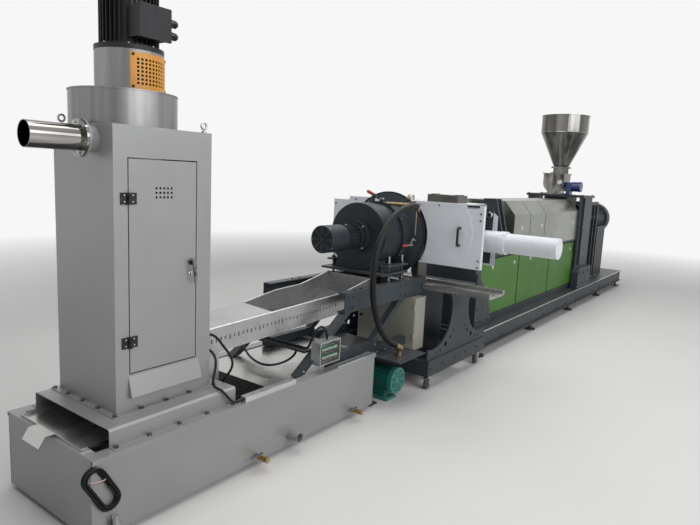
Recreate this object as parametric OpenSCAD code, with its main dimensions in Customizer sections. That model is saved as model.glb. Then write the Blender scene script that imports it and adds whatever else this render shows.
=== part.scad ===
// Underwater pelletizing extruder line: water tank with a centrifugal drying
// tower, collecting chute, pelletizing head on its frame, die cart with a
// hood, and the extruder with its barrel covers, hopper, gearbox and motor.
// Lengths are millimetres. X runs along the line from the tank's free end to
// the main motor, -Y is the operator's side and Z = 0 is the floor.

/* [Line] */
// Height of the screw axis above the floor
axis_h = 1120; // [1100:5:1160]
// Thickness of the tank and cabinet sheet
sheet = 4; // [2:0.5:6]
// Running gap between faces that meet without touching
seat_gap = 0.3; // [0.1:0.1:0.5]

/* [Water tank] */
// Length of the tank
tank_l = 2000; // [1900:10:2200]
// Width of the tank
tank_w = 708; // [680:2:760]
// Height of the tank walls
tank_h = 355; // [320:5:380]
// Gap between the tank floor and the shop floor
tank_gap = 25; // [15:1:40]
// Width of the inward rim
rim_w = 50; // [44:1:70]
// Radius of the overflow spout
spout_r = 28; // [20:1:40]

/* [Cover and tower] */
// Start of the hat-section cover along the tank
hat_x = 105; // [60:5:140]
// Length of the hat-section cover
hat_l = 695; // [660:5:760]
// Height of the hat-section cover
hat_h = 81; // [60:1:100]
// Width of each bolted hat flange
hat_flange = 40; // [30:1:44]
// Start of the tower along the hat cover
tower_in = 100; // [60:5:120]
// Length of the tower along the line
tower_l = 515; // [480:5:540]
// Width of the tower across the line
tower_w = 480; // [440:5:520]
// Height of the tower cabinet
tower_h = 1254; // [1150:5:1400]
// Sideways shift of the tower from the line axis
tower_y = 36; // [0:1:40]

/* [Tower door] */
// Width of the door
door_w = 354; // [300:2:380]
// Height of the door
door_h = 940; // [800:5:980]
// Distance of the door from the cabinet's left edge
door_in = 71; // [60:1:80]
// Height of the door's lower edge above the cabinet foot
door_up = 175; // [150:5:200]
// Thickness of the door tray
door_t = 18; // [14:1:24]
// Gap around the door
door_gap = 5; // [5:0.5:7]

/* [Drying tower top] */
// Radius of the discharge collar
collar_r = 235; // [210:1:240]
// Height of the discharge collar
collar_h = 155; // [120:1:180]
// Radius of the motor pedestal
pedestal_r = 151; // [140:1:160]
// Height of the motor pedestal
pedestal_h = 180; // [160:1:220]
// Radius over the tower motor's fins
motor_r = 130; // [115:1:140]
// Length of the tower motor's finned body
motor_l = 300; // [260:5:360]
// Bore radius of the outlet pipe
outlet_r = 51; // [45:1:55]
// Length of the outlet pipe past its flange
outlet_l = 215; // [150:5:300]

/* [Chute] */
// Height of the chute walls
chute_h = 140; // [120:2:160]
// Length of the chute
chute_l = 1480; // [1400:10:1490]
// Slope of the chute towards the tower in degrees
chute_slope = 2.1; // [1:0.1:3]

/* [Pelletizer] */
// Overlap of the pelletizer frame over the tank
frame_in = 280; // [260:5:320]
// Length of the pelletizer frame rails
rail_l = 1010; // [980:5:1010]
// Height of the rail channels
rail_h = 130; // [110:2:150]
// Depth of the rail tops below the screw axis
rail_drop = 305; // [295:1:320]
// Half width over the rails
rail_y = 300; // [290:2:320]
// Radius of the cutter housing
housing_r = 240; // [220:1:250]
// Length of the cutter housing
housing_l = 125; // [100:1:140]
// Radius of the water chamber
chamber_r = 247; // [243:1:255]
// Length of the water chamber
chamber_l = 150; // [120:1:170]
// Radius of the docking ring
ring_r = 322; // [300:1:330]
// Radius of the cutter motor's fan cowl
cutter_r = 93; // [85:1:100]
// Outer radius of the water hose
hose_r = 20; // [16:1:24]

/* [Die cart and hood] */
// Length of the die cart
cart_l = 1000; // [950:5:1050]
// Half width over the cart's side plates
cart_y = 470; // [450:5:500]
// Height of the cart table above the floor
cart_top = 722; // [700:2:740]
// Radius of the caster wheels
caster_r = 38; // [34:1:42]
// Height of the hood
hood_h = 455; // [420:5:470]
// Depth of the hood along the line
hood_d = 300; // [280:5:340]
// Reach of the hood on the operator's side
hood_near = 770; // [740:5:800]
// Reach of the hood on the far side
hood_far = 550; // [520:5:600]
// Radius of the hydraulic cylinder's cover
pipe_r = 72; // [60:1:78]
// Length of the hydraulic cylinder's cover
pipe_l = 583; // [500:5:640]

/* [Extruder] */
// Length of the extruder base
base_l = 5390; // [5300:10:5600]
// Half width of the extruder base
base_y = 430; // [420:5:480]
// Height of the base beam's top above the floor
base_top = 235; // [220:5:260]
// Length of the machine body under the barrel
body_l = 3520; // [3500:10:3560]
// Half width of the machine body
body_y = 300; // [290:2:310]
// Height of the body's deck above the floor
deck_h = 880; // [860:5:900]
// Length of all barrel covers together
cover_l = 2150; // [2000:10:2160]
// Half width of the barrel covers
cover_y = 320; // [300:2:320]
// Height of the barrel covers
cover_h = 490; // [460:5:500]
// Outer radius of the barrel
barrel_r = 95; // [80:1:110]

/* [Feeding] */
// Radius of the hopper
hopper_r = 290; // [250:5:310]
// Height of the hopper's cylinder
hopper_h = 215; // [180:5:260]
// Height of the hopper's cone
cone_h = 442; // [400:5:480]
// Radius of the hopper's outlet
throat_r = 90; // [80:1:100]
// Thickness of the hopper's sheet
hopper_t = 3; // [2:0.5:4]

/* [Drive] */
// Length of the gearbox
gear_l = 750; // [650:10:800]
// Radius over the main motor's fins
drive_r = 235; // [210:5:240]
// Length of the main motor's finned body
drive_l = 560; // [500:10:600]

/* [Hidden] */

// Stations along the line
hat_top = tank_gap + tank_h + hat_h;
hat_w = tank_w - 2 * hat_flange;
tower_x = hat_x + tower_in;
tower_top = hat_top + tower_h;
front_y = tower_y - tower_w / 2;
rail_top = axis_h - rail_drop;
tower_mid = tower_x + tower_l / 2;
rail_x = tank_l - frame_in;
far_rail_x = rail_x - 120;
housing_x = rail_x + 510;
chamber_x = housing_x + housing_l;
ring_x = chamber_x + chamber_l;
ring_l = 135;
hood_x = ring_x + ring_l + 8;
cart_x = hood_x - 120;
cart_mid = cart_x + cart_l / 2;
base_x = cart_x + cart_l + 30;
body_x = base_x + 40;
cover_x = body_x + body_l - cover_l - 560;
stand_x = cover_x + cover_l + 6;
stand_l = 520;
stand_top = 1430;
gear_x = body_x + body_l + seat_gap;
drive_x = gear_x + gear_l;
line_end = base_x + base_l;

// Door places in the row frame of the tank's end
door_x = tower_x + door_in;
door_z = hat_top + door_up;
hinge_x = door_x - door_gap / 2;
hinge_out = 12;
hinge_pin_r = 5;
pin_fit = 0.05;
hinge_y = front_y - hinge_out;
hinge_h = 50;
hinge_rows = [door_z + 117, door_z + door_h - 193];
lock_x = door_x + door_w - 30;
lock_z = door_z + 474;

// Tower top places
collar_x = tower_x + 215;
collar_y = tower_y + 14;
collar_top = tower_top + collar_h;
pedestal_x = collar_x + 30;
pedestal_y = collar_y;
pedestal_top = collar_top + pedestal_h;
outlet_y = front_y + 153;
outlet_z = tower_top - 63;
outlet_t = 3;

// The chute's floor: its height at the tower, nearly level, then steeper
chute_z = rail_top - 220;
chute_bend = chute_l * 0.788;
chute_end_slope = 11.2;
function chute_low(x) = min(x, chute_bend) * tan(chute_slope) + max(x - chute_bend, 0) * tan(chute_end_slope);

// Pelletizer places
base_plate_t = 14;
base_plate_top = axis_h - housing_r;
pump_x = tank_l + 212;
pump_y = -335;
pump_z = 150;
shelf_z = tank_gap + tank_h - 55;
shelf_t = 10;

// Cart and hood places
caster_h = 2 * caster_r + 29;
sill_h = 120;
slide_t = 40;
slide_top = cart_top + slide_t;
pipe_x = hood_x + 200;
hood_z = axis_h - 190;
hood_top = hood_z + hood_h;
step_w = 150;
step_h = 30;
fold_y = -hood_near + 127;
flange_y = hood_near - 110;

// Extents of the whole line, which centre it on the origin
low_x = tower_x - 65 - outlet_l;
low_y = -(flange_y + pipe_l);
high_y = hood_far;
line_cx = (low_x + line_end) / 2;
line_cy = (low_y + high_y) / 2;

// Route of the water hose, from the upper elbow to the lower fitting
HOSE = [
    [2392, -382, 1352], [2348, -408, 1362], [2285, -424, 1366],
    [2210, -428, 1360], [2130, -430, 1345], [2060, -430, 1318],
    [1990, -430, 1275], [1930, -430, 1220], [1880, -430, 1155],
    [1848, -430, 1085], [1830, -430, 1010], [1824, -430, 930],
    [1828, -430, 850], [1842, -430, 775], [1866, -430, 700],
    [1900, -430, 630], [1945, -430, 565], [2000, -430, 508],
    [2065, -430, 460], [2130, -430, 425]
];
hose_move = [tank_l - 2000, 0, axis_h - 1120];
hose_route = [for (p = HOSE) p + hose_move];

// Black cables: from the tower down behind the weir, from the tower into the
// duct, and from the terminal box over the cross beam in a loop under it
TOWER_CABLE = [
    [721.3, -192, 723.9], [736, -193, 722], [756, -197, 712], [776, -203, 693],
    [795, -210, 665], [815, -219, 635], [832, -229, 604], [842, -238, 573],
    [842, -240, 545], [833, -235, 518], [821, -225, 494], [813, -210, 474],
    [811, -195, 454], [813, -185, 432], [819, -180, 405], [828, -180, 372],
    [838, -182, 343], [848, -184, 325], [854.3, -185, 318.4]
];
DUCT_CABLE = [
    [723.4, -188, 644.5], [736, -191, 638], [746, -200, 624], [750, -215, 598],
    [742, -228, 568], [728, -238, 540], [712, -248, 512], [701, -260, 492],
    [697, -275, 479], [698, -293, 474.5], [704, -312, 469], [714, -329, 453],
    [728, -340, 431], [746, -345, 409], [768, -345, 397], [795, -344, 393.5],
    [824.7, -344, 393]
];
BOX_CABLE = [
    [1512, -330, 570.8], [1511, -330, 588], [1505, -329, 612], [1490, -327, 637],
    [1466, -322, 653], [1443, -317, 648], [1427, -309, 628], [1420, -299, 601],
    [1419, -287, 573], [1423, -272, 545], [1430, -254, 524], [1436, -232, 511],
    [1439, -205, 507.6], [1440, -150, 507.4], [1440, -80, 507.4], [1440, 0, 507.4],
    [1440, 80, 507.4], [1439, 140, 507.6], [1434, 180, 508.2], [1420, 208, 508.6],
    [1398, 221, 508.4], [1379, 220, 504.5], [1356, 211, 491], [1330, 190, 472], [1308, 160, 455],
    [1282, 112, 440], [1261, 58, 428], [1247, 0, 420], [1243, -50, 416],
    [1252, -95, 416], [1280, -126, 419], [1320, -144, 425], [1362, -152, 433],
    [1400, -154, 445], [1424, -153, 458], [1436, -151.5, 470], [1442, -150, 485]
];
tower_cable_move = [hat_x + tower_in + tower_l - 720, 0, hat_top - 461];
box_cable_move = [rail_x - 1720, 0, tank_gap + tank_h - 380];

$fn = 64;

// Moves the line so that its footprint is centred on the origin
module line() {
    translate([-line_cx, -line_cy, 0]) children();
}

// A block between two opposite corners
module block(a, b) {
    translate(a) cube(b - a);
}

// Round bars along each direction
module rod_x(x0, x1, y, z, r) {
    translate([x0, y, z]) rotate([0, 90, 0]) cylinder(r = r, h = x1 - x0);
}

module rod_y(x, y0, y1, z, r) {
    translate([x, y1, z]) rotate([90, 0, 0]) cylinder(r = r, h = y1 - y0);
}

module rod_z(x, y, z0, z1, r) {
    translate([x, y, z0]) cylinder(r = r, h = z1 - z0);
}

// Extrudes an outline drawn in X and Z between two places across the line
module across(y0, y1) {
    translate([0, y1, 0]) rotate([90, 0, 0]) linear_extrude(y1 - y0) children();
}

// Extrudes an outline drawn in Y and Z along the line
module along(x0, x1) {
    translate([x0, 0, 0]) rotate([90, 0, 90]) linear_extrude(x1 - x0) children();
}

// A round bar from one point along a direction
module rod_along(p, d, h, r) {
    translate(p) rotate([0, acos(d[2] / norm(d)), atan2(d[1], d[0])]) cylinder(r = r, h = h);
}

// Copies to both sides of the line axis
module both_sides() {
    children();
    mirror([0, 1, 0]) children();
}

// Outline of a finned motor housing: a round core with straight fins
module finned_outline(core_r, fin_r, fins, fin_w) {
    circle(r = core_r, $fn = 96);
    for (k = [0:fins - 1])
        rotate(k * 360 / fins)
            translate([core_r - 4, -fin_w / 2]) square([fin_r - core_r + 4, fin_w]);
}

// Ring slots of a fan cowl, cut as arcs between spokes
module cowl_slots(radii, slot_w, spokes, depth) {
    for (r = radii)
        for (k = [0:spokes - 1])
            rotate(k * 360 / spokes + 8)
                rotate_extrude(angle = 360 / spokes - 16, $fn = 72)
                    translate([r - slot_w / 2, 0]) square([slot_w, depth]);
}

// Water tank: open basin with an inward rim and a welded overflow spout
module water_tank() {
    half = tank_w / 2;
    top = tank_gap + tank_h;
    spout_x = 1175;
    spout_z = tank_gap + 68;
    color("silver") line() {
        difference() {
            union() {
                block([0, -half, tank_gap], [tank_l, half, top]);
                rod_y(spout_x, -half - 78, -half + sheet, spout_z, spout_r);
            }
            block([sheet, -half + sheet, tank_gap + sheet], [tank_l - sheet, half - sheet, top - sheet]);
            block([rim_w, -half + rim_w, top - 2 * sheet], [tank_l - rim_w, half - rim_w, top + 1]);
            rod_y(spout_x, -half - 79, -half + 2 * sheet, spout_z, spout_r - 3);
        }
        block([0, -half - 14, top - sheet], [tank_l, -half, top]);
        block([0, half, top - sheet], [tank_l, half + 14, top]);
        block([0, -half - 14, top - 22], [tank_l, -half - 10, top]);
        block([0, half + 10, top - 22], [tank_l, half + 14, top]);
    }
}

// Stainless screens in the open basin: a weir and a flat deck on two ribs
module tank_screens() {
    half = tank_w / 2 - sheet;
    deck_x = hat_x + hat_l + 266;
    low = tank_gap + sheet;
    top = tank_gap + tank_h - sheet - 1;
    color("lightgrey") line() {
        block([hat_x + hat_l + 60, -half, low], [hat_x + hat_l + 63, half, top - 40]);
        block([deck_x, -half + 2, top - 3], [tank_l - 57, half - 2, top]);
        for (x = [deck_x + 3, tank_l - 500, tank_l - 60])
            block([x, -half, low], [x + 3, half, top - 2]);
    }
}

// One levelling foot: bracket, threaded rod, nuts and pad
module leveling_foot(x, y, wall_y) {
    block([x - 25, min(y, wall_y), 62], [x + 25, max(y, wall_y) , 70]);
    block([x - 25, wall_y == 0 ? 0 : (y < wall_y ? wall_y - 6 : wall_y), 62], [x + 25, (y < wall_y ? wall_y : wall_y + 6), 110]);
    rod_z(x, y, 0, 10, 26);
    rod_z(x, y, 5, 118, 8);
    rod_z(x, y, 48, 62, 14, $fn = 6);
    rod_z(x, y, 70, 84, 14, $fn = 6);
}

// Levelling feet on both sides of the tank's free end
module leveling_feet() {
    half = tank_w / 2;
    color("dimgray") line() {
        leveling_foot(90, -half - 30, -half);
        leveling_foot(60, half + 30, half);
    }
}

// Brass drain valves low on the operator's side, each with a blue lever
module drain_valves() {
    half = tank_w / 2;
    z = tank_gap + 40;
    color("goldenrod") line()
        for (x = [910, tank_l - 250]) {
            rod_y(x, -half - 95, -half, z, 9);
            rod_y(x, -half - 72, -half - 28, z, 15);
            rod_y(x, -half - 95, -half - 80, z, 13, $fn = 6);
            rod_z(x, -half - 50, z, z + 26, 5);
            block([x - 75, -half - 58, z + 22], [x + 8, -half - 42, z + 26]);
        }
}

// Aluminium cable duct along the rim
module cable_duct() {
    half = tank_w / 2;
    top = tank_gap + tank_h;
    color("gainsboro") line() {
        block([hat_x + hat_l + 25, -half - 10, top], [1207, -half + 30, top + 28]);
        block([1590, -half - 10, top], [tank_l - 5, -half + 12, top + 8]);
    }
}

// Outline of the hat section: top, two webs with rounded bends and flanges
module hat_outline() {
    top = hat_top;
    low = tank_gap + tank_h;
    r = 14;
    difference() {
        union() {
            translate([-hat_w / 2, low]) square([hat_w, hat_h - r]);
            translate([-hat_w / 2 + r, low]) square([hat_w - 2 * r, hat_h]);
            for (s = [-1, 1])
                translate([s * (hat_w / 2 - r), top - r]) circle(r = r);
            translate([-tank_w / 2 + 4, low]) square([tank_w - 8, sheet]);
        }
        translate([-hat_w / 2 + sheet, low - 1]) square([hat_w - 2 * sheet, hat_h - r + 1]);
        translate([-hat_w / 2 + r, low - 1]) square([hat_w - 2 * r, hat_h - sheet + 1]);
        for (s = [-1, 1])
            translate([s * (hat_w / 2 - r), top - r]) circle(r = r - sheet);
    }
}

// Room for the chute's drop duct beside the tower
module duct_notch() {
    block([tower_x + tower_l, -126, hat_top - 30], [tower_x + tower_l + 140, 76, hat_top + 10]);
}

// Hat-section cover over the tank, with the drain hole under the screen
module hat_cover() {
    color("silver") line() difference() {
        along(hat_x, hat_x + hat_l) hat_outline();
        rod_z(tower_mid, tower_y, hat_top - 2 * sheet, hat_top + 1, 120);
        duct_notch();
    }
}

// Sieve tray that rests on the rim under the cover, with a bent pull tab
module sieve_tray() {
    top = tank_gap + tank_h;
    color("lightgrey") line() {
        difference() {
            block([12, -260, top], [rim_w + 560, 260, top + 14]);
            block([15, -257, top + 2], [rim_w + 557, 257, top + 15]);
        }
        across(-52, 96) polygon([
            [-60, top - 30], [-57, top - 31], [-28, top + 12], [13, top + 12], [13, top + 15], [-30, top + 15]
        ]);
    }
}

// Tower cabinet: welded sheet box with a door opening, bolted foot flange
// and a sloping drip sill under the door
module tower_cabinet() {
    x0 = tower_x;
    x1 = tower_x + tower_l;
    y0 = front_y;
    y1 = front_y + tower_w;
    z0 = hat_top;
    flange = 32;
    color("silver") line() {
        difference() {
            block([x0, y0, z0], [x1, y1, tower_top]);
            block([x0 + sheet, y0 + sheet, z0 - 1], [x1 - sheet, y1 - sheet, tower_top - sheet]);
            block([door_x - door_gap, y0 - 1, door_z - door_gap],
                  [door_x + door_w + door_gap, y0 + sheet + 1, door_z + door_h + door_gap]);
            rod_x(x0 - 1, x0 + sheet + 1, outlet_y, outlet_z, outlet_r);
            block([x1 - sheet - 1, -140, chute_z + 12], [x1 + 1, 88, chute_z + 114]);
        }
        difference() {
            block([x0 - flange, y0 - flange, z0], [x1 + flange, y1 + flange, z0 + sheet]);
            block([x0, y0, z0 - 1], [x1, y1, z0 + sheet + 1]);
            duct_notch();
        }
        translate([door_x - 9, 0, 0]) rotate([90, 0, 90]) linear_extrude(door_w + 30)
            polygon([[y0, door_z - 14], [y0, door_z - 24], [y0 - 23, door_z - 106], [y0 - 27, door_z - 106]]);
        for (x = [door_x - 9, door_x + door_w + 18])
            along(x, x + 3)
                polygon([[y0, door_z - 16], [y0 - 25, door_z - 106], [y0, door_z - 112]]);
    }
}

// Perforated screen drum round the dewatering rotor, on the cover
module screen_drum() {
    r = 165;
    h = tower_h - 60;
    color("lightgrey") line() translate([tower_mid, tower_y, hat_top]) {
        difference() {
            cylinder(r = r, h = h, $fn = 96);
            translate([0, 0, -1]) cylinder(r = r - 4, h = h + 2, $fn = 96);
        }
        for (z = [0, h / 3, 2 * h / 3, h - 25])
            translate([0, 0, z]) difference() {
                cylinder(r = r + 8, h = 25, $fn = 96);
                translate([0, 0, -1]) cylinder(r = r - 4, h = 27, $fn = 96);
            }
    }
}

// Tower door: folded tray with a block of vent holes
module tower_door() {
    y0 = front_y;
    color("silver") line() difference() {
        block([door_x, y0, door_z], [door_x + door_w, y0 + door_t, door_z + door_h]);
        block([door_x + 2, y0 + 2, door_z + 2],
              [door_x + door_w - 2, y0 + door_t + 1, door_z + door_h - 2]);
        for (i = [0:4])
            for (k = [0:2])
                rod_y(door_x + 137 + 20 * i, y0 - 1, y0 + 3, door_z + door_h - 163 + 20 * k, 5.5, $fn = 24);
        rod_y(lock_x, y0 - 1, y0 + 3, lock_z, 11);
    }
}

// Fixed hinge halves on the cabinet: leaf, two knuckles and the pin
module door_hinges() {
    color("black") line()
        for (z = hinge_rows) {
            block([hinge_x - 38, front_y - 5, z], [hinge_x - 4, front_y, z + hinge_h]);
            for (dz = [0, hinge_h - 14]) {
                rod_z(hinge_x, hinge_y, z + dz, z + dz + 14, hinge_pin_r + 3);
                block([hinge_x - 12, hinge_y, z + dz], [hinge_x - 4, front_y - 5, z + dz + 14]);
            }
            rod_z(hinge_x, hinge_y, z + 2, z + hinge_h - 2, hinge_pin_r);
        }
}

// Moving hinge halves on the door, each with one knuckle round the pin
module hinge_leaves() {
    color("black") line()
        for (z = hinge_rows)
            difference() {
                union() {
                    block([hinge_x + 4, front_y - 5, z], [hinge_x + 38, front_y, z + hinge_h]);
                    rod_z(hinge_x, hinge_y, z + 14.5, z + hinge_h - 14.5, hinge_pin_r + 3);
                    block([hinge_x + 4, hinge_y, z + 14.5], [hinge_x + 12, front_y - 5, z + hinge_h - 14.5]);
                }
                rod_z(hinge_x, hinge_y, z + 1, z + hinge_h - 1, hinge_pin_r + pin_fit);
            }
}

// Swing handle of the door lock: boss, hub and hanging lever
module door_handle() {
    y = front_y;
    color("gainsboro") line() {
        rod_y(lock_x, y - 16, y - seat_gap, lock_z, 16);
        rod_y(lock_x, y - 16, y + 14, lock_z, 10.5);
        rod_y(lock_x, y - 34, y - 16, lock_z, 9);
        hull() {
            rod_y(lock_x, y - 34, y - 24, lock_z, 9, $fn = 32);
            rod_y(lock_x + 10, y - 34, y - 24, lock_z - 96, 6, $fn = 32);
        }
    }
}

// Discharge collar between the cabinet and the motor pedestal
module discharge_collar() {
    color("silver") line() difference() {
        union() {
            rod_z(collar_x, collar_y, tower_top, collar_top, collar_r, $fn = 96);
            rod_z(collar_x, collar_y, collar_top - 5, collar_top, collar_r + 3, $fn = 96);
        }
        rod_z(collar_x, collar_y, tower_top - 1, collar_top - sheet, collar_r - sheet, $fn = 96);
    }
}

// Angles between which the pedestal is open and the guard sits
guard_from = -122;
guard_to = -36;

// Motor pedestal: tube with a window on the operator's side
module motor_pedestal() {
    color("silver") line() translate([pedestal_x, pedestal_y, collar_top]) difference() {
        union() {
            cylinder(r = pedestal_r, h = pedestal_h, $fn = 96);
            cylinder(r = pedestal_r + 5, h = 8, $fn = 96);
        }
        translate([0, 0, 6]) cylinder(r = pedestal_r - 6, h = pedestal_h, $fn = 96);
        rotate(guard_from + 8) translate([0, 0, 30])
            rotate_extrude(angle = guard_to - guard_from - 16, $fn = 96)
                translate([pedestal_r - 20, 0]) square([40, pedestal_h - 60]);
    }
}

// Curved vent guard with a grid of square holes
module vent_guard() {
    cols = 10;
    rows = 7;
    inner = pedestal_r + seat_gap;
    step = (guard_to - guard_from - 18) / cols;
    color("orange") line() translate([pedestal_x, pedestal_y, collar_top + 12]) difference() {
        rotate(guard_from) rotate_extrude(angle = guard_to - guard_from, $fn = 96)
            translate([inner, 0]) square([3, pedestal_h - 24]);
        for (i = [0:cols - 1])
            for (k = [0:rows - 1])
                rotate(guard_from + 9 + step * (i + 0.5))
                    translate([inner - 5, -5, 20 + k * 17]) cube([15, 10, 10]);
    }
}

// Tower motor: flange, finned body, fan cowl, terminal box and shaft
module tower_motor() {
    z0 = pedestal_top;
    z1 = z0 + 22;
    z2 = z1 + motor_l;
    core = motor_r - 17;
    color("black") line() translate([pedestal_x, pedestal_y, 0]) {
        translate([0, 0, z0]) cylinder(r = pedestal_r + 1, h = 22, $fn = 96);
        translate([0, 0, z1]) cylinder(r = core + 8, h = 14, $fn = 96);
        translate([0, 0, z1]) linear_extrude(motor_l) finned_outline(core, motor_r, 36, 4);
        difference() {
            translate([0, 0, z2]) cylinder(r = motor_r + 2, h = 118, $fn = 96);
            translate([0, 0, z2 + 112]) cowl_slots([50, 74, 98], 12, 6, 10);
        }
        translate([0, 0, collar_top + 8]) cylinder(r = 24, h = z0 - collar_top - 8);
        block([-74, -motor_r - 64, z1 + 28], [74, -core + 10, z1 + 158]);
        block([-80, -motor_r - 72, z1 + 22], [80, -motor_r - 58, z1 + 164]);
        for (dz = [62, 116])
            rod_x(74, 96, -motor_r - 30, z1 + dz, 12);
    }
}

// Lifting eyes on two opposite corners of the tower
module lifting_eyes() {
    color("dimgray") line()
        for (p = [[tower_x + 26, front_y + tower_w - 26], [tower_x + tower_l - 26, front_y + 26]])
            translate([p[0], p[1], tower_top]) {
                cylinder(r = 12, h = 8);
                cylinder(r = 6, h = 16);
                translate([0, 0, 32]) rotate([90, 0, 0])
                    rotate_extrude($fn = 48) translate([15, 0]) circle(r = 5, $fn = 20);
            }
}

// Short outlet spigot on the cabinet's end, with its flange
module outlet_spigot() {
    color("silver") line() difference() {
        union() {
            rod_x(tower_x - 55, tower_x, outlet_y, outlet_z, outlet_r + 6);
            rod_x(tower_x - 55, tower_x - 45, outlet_y, outlet_z, outlet_r + 28);
        }
        rod_x(tower_x - 56, tower_x + 1, outlet_y, outlet_z, outlet_r);
    }
}

// Polished outlet pipe with its flange and a mitred open end
module outlet_pipe() {
    x1 = tower_x - 55 - seat_gap;
    x0 = tower_x - 65 - outlet_l;
    far = 3 * outlet_r;
    color("gainsboro") line() difference() {
        union() {
            rod_x(x0, x1, outlet_y, outlet_z, outlet_r + outlet_t);
            rod_x(x1 - 10, x1, outlet_y, outlet_z, outlet_r + 28);
        }
        rod_x(x0 - 1, x1 + 1, outlet_y, outlet_z, outlet_r);
        translate([x0, outlet_y, outlet_z + outlet_r + outlet_t]) rotate([0, 45, 0])
            translate([-2 * far, -far, -far]) cube([2 * far, 2 * far, 2 * far]);
    }
}

// Plan outline of the chute, which flares on its far side
module chute_plan(inset) {
    polygon([
        [inset, -150 + inset], [chute_l - inset, -150 + inset], [chute_l - inset, 222 - inset],
        [chute_l * 0.62, 222 - inset], [chute_l * 0.365, 128 - inset], [inset, 100 - inset]
    ]);
}

// Side outline of the chute between two heights above its floor line
module chute_side(x0, x1, z0, z1) {
    xs = x1 > chute_bend ? [x0, chute_bend, x1] : [x0, x1];
    last = len(xs) - 1;
    polygon(concat(
        [for (x = xs) [x, chute_low(x) + z0]],
        [for (i = [last:-1:0]) [xs[i], chute_low(xs[i]) + z1]]
    ));
}

// Collecting chute: flared trough with folded rims, closed on top near the
// tower, with weep holes, and the drop duct that ends in the tank
module chute() {
    t = 3;
    rim = 9;
    h = chute_h;
    drop_z = tank_gap + tank_h - 60 - chute_z;
    color("silver") line() translate([tower_x + tower_l, 0, chute_z]) {
        difference() {
            intersection() {
                linear_extrude(2 * h) chute_plan(-rim);
                across(-300, 300) chute_side(0, chute_l + rim, 0, h);
            }
            intersection() {
                translate([0, 0, -20]) linear_extrude(2 * h) difference() {
                    chute_plan(-rim - 10);
                    chute_plan(0);
                }
                across(-400, 400) chute_side(-20, chute_l + rim + 20, -15, h - t);
            }
            intersection() {
                linear_extrude(2 * h) chute_plan(t);
                across(-300, 300) chute_side(-1, chute_l + 1, t, h - t);
            }
            intersection() {
                linear_extrude(2 * h) polygon([
                    [chute_l * 0.34, -147], [chute_l - t, -147], [chute_l - t, 222 - t], [chute_l * 0.62, 222 - t],
                    [chute_l * 0.365, 128 - t]
                ]);
                across(-300, 300) chute_side(chute_l * 0.3, chute_l + 1, h / 2, h + 1);
            }
            for (i = [0:11])
                rod_y(60 + 94 * i, -160, -140, chute_low(60 + 94 * i) + h - 62, 4, $fn = 24);
            block([5, -120, -1], [130, 70, t + 9]);
            block([-1, -140, 12], [t + 1, 88, 114]);
        }
        difference() {
            across(-123, 73) polygon([[2, drop_z], [133, drop_z], [133, t / 2], [2, t / 2]]);
            block([5, -120, drop_z - 1], [130, 70, t + 9]);
        }
    }
}

// A rail channel along X whose web faces outwards
module rail_channel(x0, x1, y_out, y_in) {
    z0 = rail_top - rail_h;
    web = min(y_out, y_in) == y_out ? [y_out, y_out + 7] : [y_out - 7, y_out];
    lo = min(y_out, y_in);
    hi = max(y_out, y_in);
    block([x0, web[0], z0], [x1, web[1], rail_top]);
    block([x0, lo, z0], [x1, hi, z0 + 9]);
    block([x0, lo, rail_top - 9], [x1, hi, rail_top]);
}

// Pelletizer frame: two channels and the cross members between them
module frame_rails() {
    z0 = rail_top - rail_h;
    x1 = rail_x + rail_l;
    inner = rail_y - 62;
    rest_x = tower_x + tower_l + chute_l - 90;
    rest_z = chute_z + chute_low(chute_l - 90) - seat_gap;
    color("slategray") line() {
        rail_channel(rail_x, x1, -rail_y, -inner);
        rail_channel(far_rail_x, x1, rail_y, inner);
        for (x = [tower_x + tower_l + chute_l + 40, x1 - 90])
            block([x, -inner - 50, z0], [x + 80, inner + 50, z0 + 9]);
        block([x1 - 8, -inner - 50, z0], [x1, inner + 50, z0 + 70]);
        for (y = [-inner - 8, inner])
            block([rest_x, y, rest_z - 30], [rest_x + 40, y + 8, z0 + 4]);
        block([rest_x, -inner - 8, rest_z - 30], [rest_x + 40, inner + 8, rest_z]);
    }
}

// One sloping brace of square tube between two points at one side
module brace(a, b, y, w) {
    across(y - w / 2, y + w / 2)
        polygon([[a[0] - w * 0.65, a[1]], [a[0] + w * 0.65, a[1]], [b[0] + w * 0.65, b[1]], [b[0] - w * 0.65, b[1]]]);
}

// Braces, lower beams on the tank's rim and the pump shelf
module frame_braces() {
    low = tank_gap + tank_h;
    top = rail_top - rail_h - seat_gap;
    y = rail_y - 28;
    x1 = rail_x + rail_l;
    color("slategray") line() {
        both_sides() {
            brace([rail_x - 400, low], [rail_x + 40, top], -y, 50);
            brace([rail_x + 350, low + 50], [rail_x + 690, top], -y, 50);
            block([rail_x - 120, -y - 25, low], [tank_l + 90, -y + 25, low + 55]);
            block([tank_l + 1, -y - 25, 200], [tank_l + 56, -y + 25, low + 10]);
            block([tank_l + 56, -y - 25, low - 45], [cart_x - 40, -y + 25, low + 10]);
            block([tank_l + 2, -y - 70, 0], [tank_l + 82, -y + 70, 10]);
            rod_z(tank_l + 28, -y, 5, 205, 10);
            for (z = [10, 186])
                rod_z(tank_l + 28, -y, z, z + 14, 18, $fn = 6);
        }
        block([rail_x - 320, -y + 20, low + 108], [rail_x - 240, y - 20, low + 120]);
        block([tank_l + 60, -520, shelf_z], [tank_l + 400, y, shelf_z + shelf_t]);
    }
}

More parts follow.
